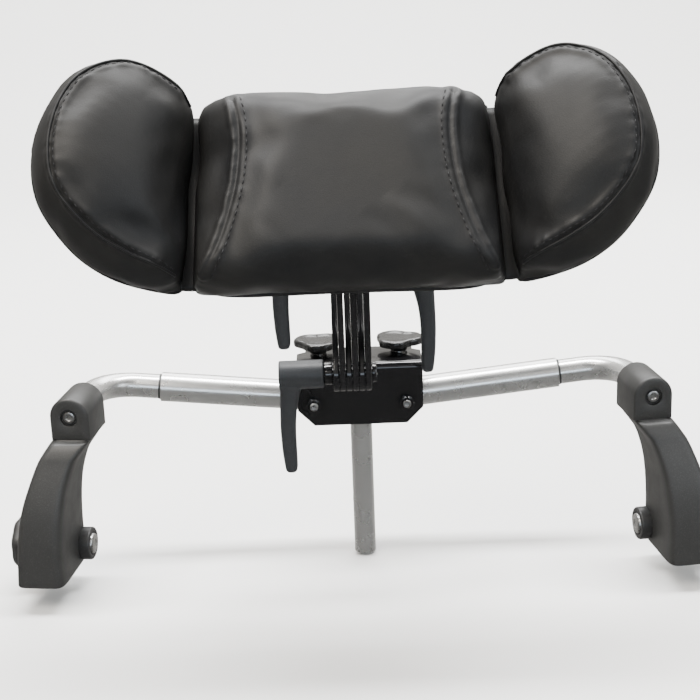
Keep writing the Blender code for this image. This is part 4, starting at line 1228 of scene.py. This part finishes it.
def slot_x(index):
    return (index - 2.5) * PITCH


def side_view(pivot, slot):
    """Frame of a link plate: local x is world Y, local y is world Z, stood in one slot of the stack."""
    return local_frame(Vector((pivot.x + slot_x(slot), pivot.y, pivot.z)), Y, Z, X)


def yz(vector):
    return Vector((vector.y, vector.z))


def link_plates(name, slots, outline, holes, pivot, body, nodes=""):
    """Equal plates in their slots of the stack; nodes is the start of the CAD nodes they replace."""
    for number, slot in enumerate(slots, 1):
        replaced = (f"{nodes}_{number}",) if nodes else ()
        plate(f"{name}_{number}", outline, holes, side_view(pivot, slot), body, replaced)


def build_links():
    knee = yz(KNEE - STEM_PIVOT)
    lean = math.degrees(math.atan2(knee.y, knee.x))
    outline = arc(0, 0, LINK_END, lean + 90, lean + 270) + arc(*knee, LINK_END, lean - 90, lean + 90)
    link_plates("lower_plate", (0, 2, 4), outline, [(0, 0, BOLT_HOLE), (*knee, BOLT_HOLE)],
                STEM_PIVOT, "lower_link", "lower_link_plate")
    pad = yz(PAD_PIVOT - KNEE)
    along = pad.normalized()
    forward = Vector((-along.y, along.x))
    lean = math.degrees(math.atan2(pad.y, pad.x))
    shares = [i / 20 for i in range(1, 20)]
    middles = [pad * t + forward * BANANA_BULGE * math.sin(math.pi * t) for t in shares]
    front, back = ([tuple(p + forward * edge) for p in middles] for edge in (LINK_END, -LINK_END))
    outline = (arc(0, 0, LINK_END, lean + 90, lean + 270) + back + arc(*pad, LINK_END, lean - 90, lean + 90)
               + front[::-1])
    link_plates("upper_plate", (1, 3, 5), outline, [(0, 0, BOLT_HOLE), (*pad, BOLT_HOLE)],
                KNEE, "upper_link", "upper_link_plate")


def build_stem_head():
    """A cap on the stem's end, and three tongues that reach forward to the first pivot."""
    top = high("stem_rod").z
    steps = ((0, -22), (5.9, -22), (5.9, 0.3), (9.5, 0.3), (9.5, 5), (0, 5))
    profile = [(r, top + z) for r, z in steps]
    piece("stem_cap", turned(rounded(profile, 0.8)), upright(0, STEM_Y), "stem", "black_paint",
          replaces=("stem_head",), sharp=40)
    base = STEM_Y - STEM_PIVOT.y
    drop = top + 0.6 - STEM_PIVOT.z
    outline = [(base + 9, drop), (base + 9, drop + 6.4), *arc(0, 0, LINK_END, 55, 235), (base - 9, drop)]
    link_plates("stem_tongue", (1, 3, 5), outline, [(0, 0, BOLT_HOLE)], STEM_PIVOT, "stem")
    rail = bmesh.new()
    bmesh.ops.create_cube(rail, size=1)
    lowest, highest = STEM_PIVOT.x + slot_x(1) - 1, STEM_PIVOT.x + slot_x(5) + 1
    bmesh.ops.scale(rail, verts=rail.verts, vec=(highest - lowest, 17, 4.1))
    bmesh.ops.translate(rail, verts=rail.verts, vec=((lowest + highest) / 2, STEM_Y, top + 2.4))
    bmesh.ops.bevel(rail, geom=rail.edges[:], offset=0.6, segments=3, affect="EDGES", profile=0.5)
    piece("stem_rail", rail, WORLD, "stem", "black_paint")


# ---- clamps: local z along the bolt towards the lever, local x down the lever --------------------
HUB_LOW, HUB_TOP = 6.3, 37.5
ARM_START = 7.4                         # the lever's arm starts inside the hub's wall
LEVER_STATIONS = (
    (0.0, 20.0, 37.4, 8.2), (12.0, 23.0, 37.5, 7.4), (25.0, 26.0, 38.0, 6.2), (40.0, 27.3, 38.3, 5.5),
    (56.0, 27.3, 37.6, 5.2), (67.0, 27.2, 36.4, 5.0), (70.2, 27.8, 35.8, 4.4), (71.5, 29.0, 34.6, 3.2),
)
CLAMPS = (("stem", STEM_PIVOT, 1, STEM_COLLAR, "stem"), ("knee", KNEE, -1, 0.0, "upper_link"),
          ("pad", PAD_PIVOT, -1, 0.0, "upper_link"))


def build_clamp(name, pivot, side, extra, owner):
    """A bolt with a socket head, an index insert, a lever that lifts off it, its spring and its screw."""
    at = axis_frame(pivot + X * side * (STACK + extra), X * side, -Z)
    head = -2 * STACK - extra - 0.3
    profile = [(0, -13.5), (3.4, -13.5), (4.0, -13.0), (4.0, -head), (6.9, -head), (7.2, -head + 0.3),
               (7.2, -head + 2.2), (6.8, -head + 2.9), (6.0, -head + 3.2), (4.2, -head + 3.2)]
    bolt_at = at @ Matrix.Rotation(math.pi, 4, "X")
    piece(name + "_clamp_bolt", socket_head(profile, 2.5, 2.0, -head + 3.2), bolt_at, owner, "black_paint",
          replaces=(name + "_bolt",), sharp=30)
    insert = rounded([(6.2, 20), (6.2, 6.0), (8.0, 6.0), (8.0, 0.3 - extra), (4.35, 0.3 - extra), (4.35, 16),
                      (2.4, 16), (2.4, 20)], 0.4)
    piece(name + "_insert", turned(insert, 64, True), at, name + "_lever", "black_paint",
          replaces=(name + "_lever_insert",), sharp=40)
    screw = [(0, 16.6), (2.0, 16.6), (2.0, 33), (4.4, 33), (4.6, 33.3), (4.6, 34.9), (4.0, 35.5), (3.0, 35.7)]
    piece(name + "_cap_screw", socket_head(screw, 1.5, 1.6, 35.7), at, name + "_lever", "zinc",
          replaces=(name + "_lever_screw",), sharp=30)
    turns, steps = 5, 90
    coil = []
    for i in range(steps + 1):
        a = 2 * math.pi * turns * i / steps
        coil.append(Vector((4.6 * math.cos(a), 4.6 * math.sin(a), 25.4 + 6.9 * i / steps)))
    wire = sweep(bmesh.new(), coil, 0.45, 8)
    spring = piece(name + "_spring", wire, at, name + "_lever", "zinc", sharp=None)
    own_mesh(spring)
    build_lever(name, at)


def build_lever(name, at):
    """The lever: hub and arm fused by a fine remesh, then softened so that they blend."""
    hub = rounded([(6.6, HUB_LOW), (10, HUB_LOW), (10, HUB_TOP), (8.6, HUB_TOP + 0.2), (5.7, HUB_TOP - 0.6),
                   (5.7, 25), (2.9, 25), (2.9, 22), (6.6, 22)], 0.7)
    bm = turned(hub, 64, True)
    rings = []
    for reach, inner, outer, depth in smooth_stations(LEVER_STATIONS, 4):
        if 0 < reach < ARM_START:
            continue
        outline = superellipse((outer - inner) / 2, depth, 32, 2.9)
        rings.append([Vector((max(reach, ARM_START), y, (inner + outer) / 2 + z)) for z, y in outline])
    add_rings(bm, rings)
    obj = remeshed(name + "_handle", bm, at, 0.55)
    relax(obj, 6)
    finish_piece(obj, name + "_handle", "lever_plastic", replaces=(name + "_lever_handle",), sharp=None)


# ---- plates and blocks that keep their CAD shape, with rounded edges ---------------------------------
SOFTENED = [("center_back_plate", "center_plate", "pad", 0.5), ("pad_fork", "fork", "pad", 0.5),
            ("stem_guide", "guide_block", "bracket", 0.6),
            ("crossbar_saddle", "saddle_block", "bracket", 0.6)]
for _, name in SIDES:
    SOFTENED += [(name + "_wing_plate", name + "_leaf", name + "_wing", 0.5),
                 (name + "_wing_hinge_pin", name + "_pin", name + "_wing", 0.4),
                 (name + "_clamp_shoe", name + "_shoe_block", name + "_shoe", 0.3)]


def soften(node, name, body, width):
    """A CAD solid again, its flat faces made whole and its edges rounded."""
    bm = bmesh.new()
    bm.from_mesh(frame["nodes"][node].data)
    bmesh.ops.remove_doubles(bm, verts=bm.verts, dist=0.002 * MM)
    bmesh.ops.dissolve_limit(bm, angle_limit=math.radians(1), verts=bm.verts, edges=bm.edges)
    obj = add_object(name, mesh_of(name, bm))
    modify(obj, "BEVEL", width=width * MM, segments=3, angle_limit=math.radians(35))
    finish_piece(applied(obj), body, NODE_SLOT[node], replaces=(node,), sharp=35)


FORK_SCREWS = ((-19, -26), (-19, 4), (19, -26), (19, 4))
FORK_BACK = -6.6


def build_fork_screws():
    """Four socket screws that hold the fork to the pad's back plate."""
    for number, (x, y) in enumerate(FORK_SCREWS, 1):
        at = PAD @ Matrix.Translation((x, y, FORK_BACK)) @ Matrix.Rotation(math.pi, 4, "X")
        profile = [(0, 0), (4.4, 0.0), (4.6, 0.3), (4.3, 1.5), (3.4, 2.4), (2.6, 2.6)]
        piece(f"fork_screw_{number}", socket_head(profile, 1.6, 1.6, 2.6), at, "pad", "zinc", sharp=30)


# ---- everything else keeps its CAD shape -----------------------------------------------------------
def dress_cad_nodes():
    for name, obj in frame["nodes"].items():
        obj.data.materials.clear()
        obj.data.materials.append(SLOT_LOOKS[NODE_SLOT[name]])
        for polygon in obj.data.polygons:
            polygon.material_index = 0
        if not obj.hide_render:
            obj.data.shade_smooth()
            obj.data.set_sharp_from_angle(angle=math.radians(32))


# ---- studio ----------------------------------------------------------------------------------------
def area_light(name, place, aim, size, energy, color=(1, 1, 1)):
    data = bpy.data.lights.new(name, "AREA")
    data.shape = "RECTANGLE"
    data.size, data.size_y = size
    data.energy = energy
    data.color = color
    obj = add_object(name, data)
    obj.location = place
    obj.rotation_euler = (Vector(aim) - Vector(place)).to_track_quat("-Z", "Y").to_euler()


def build_studio():
    """A paper sweep under and behind the object, five lights and the world."""
    floor_z = CAD_BOX[0][2] - 0.002
    bend = [math.pi / 2 * i / 16 for i in range(17)]
    rows = [(-6.0, 0.0)] + [(1.6 + 1.2 * math.sin(a), 1.2 - 1.2 * math.cos(a)) for a in bend] + [(2.8, 5.0)]
    bm = bmesh.new()
    fill(bm, [[bm.verts.new((x, y, floor_z + z)) for x in (-6, 6)] for y, z in rows])
    mesh = mesh_of("backdrop", bm)
    mesh.shade_smooth()
    backdrop = add_object("backdrop", mesh)
    paper = Shader("pale_paper", (0.86, 0.86, 0.85), 0.7)
    paper.set("Base Color", paper.mix(paper.noise(3, 3), (0.85, 0.85, 0.84), (0.87, 0.87, 0.86)))
    mesh.materials.append(paper.mat)
    backdrop.visible_glossy = False
    area_light("key", (-0.9, -1.2, 1.7), (0, -0.1, 0.1), (1.4, 1.0), 46, (1.0, 0.94, 0.86))
    area_light("fill", (1.5, -1.3, 0.7), (0, -0.1, 0.1), (1.2, 1.2), 12, (0.86, 0.93, 1.0))
    area_light("back", (0.3, 1.3, 1.5), (0, 0, 0.05), (2.0, 0.8), 40)
    area_light("front_low", (0.0, -1.9, 0.25), (0, 0, 0.15), (1.4, 0.35), 6, (0.74, 0.86, 1.0))
    area_light("wall", (0.0, 0.2, 2.6), (0, 1.9, 0.4), (3.0, 0.6), 300)
    build_world()


def build_world():
    """Bright from above and behind, dark in front, as in a room; the camera itself sees a pale wall."""
    world = bpy.data.worlds.new("studio")
    world.use_nodes = True
    tree = world.node_tree
    around, output = tree.nodes["Background"], tree.nodes["World Output"]
    kinds = ("Background", "TexCoord", "SeparateXYZ", "MapRange", "MapRange", "Math", "LightPath",
             "MixShader")
    pale, place, split, height, depth, total, seen, mixed = (tree.nodes.new("ShaderNode" + k) for k in kinds)
    around.inputs[0].default_value = (1.0, 0.97, 0.92, 1)
    pale.inputs[0].default_value = (0.97, 0.98, 1.0, 1)
    pale.inputs[1].default_value = 1.3
    for node, top, dark, bright in ((height, 0.9, 0.13, 1.0), (depth, 1.0, 0.0, 0.5)):
        for key, value in (("From Min", 0.0), ("From Max", top), ("To Min", dark), ("To Max", bright)):
            node.inputs[key].default_value = value
    for source, goal in ((place.outputs["Generated"], split.inputs[0]),
                         (split.outputs["Z"], height.inputs["Value"]),
                         (split.outputs["Y"], depth.inputs["Value"]),
                         (height.outputs[0], total.inputs[0]), (depth.outputs[0], total.inputs[1]),
                         (total.outputs[0], around.inputs[1]),
                         (seen.outputs["Is Camera Ray"], mixed.inputs[0]),
                         (around.outputs[0], mixed.inputs[1]), (pale.outputs[0], mixed.inputs[2]),
                         (mixed.outputs[0], output.inputs[0])):
        tree.links.new(source, goal)
    bpy.context.scene.world = world


def build_camera():
    data = bpy.data.cameras.new("photo_camera")
    data.lens = 73.5
    data.sensor_width = 36
    camera = add_object("photo_camera", data)
    pitch, roll = math.radians(16.5), math.radians(2.1)
    ahead = Vector((0, math.cos(pitch), -math.sin(pitch)))
    up = X.cross(ahead)
    tilted_right = X * math.cos(roll) - up * math.sin(roll)
    tilted_up = X * math.sin(roll) + up * math.cos(roll)
    camera.matrix_world = (Matrix.Translation((-0.0063, -1.0403, 0.3409))
                           @ Matrix((tilted_right, tilted_up, -ahead)).transposed().to_4x4())
    bpy.context.scene.camera = camera


build_crossbar()
build_stem()
build_bracket()
build_links()
build_stem_head()
for clamp in CLAMPS:
    build_clamp(*clamp)
for side, name in SIDES:
    build_end_tube(side, name)
    build_arm(side, name)
    build_knob(side, name)
    build_set_screw(side, name)
build_center_cushion()
for side, name in SIDES:
    build_wing(side, name)
for entry in SOFTENED:
    soften(*entry)
build_fork_screws()
dress_cad_nodes()
build_studio()
build_camera()
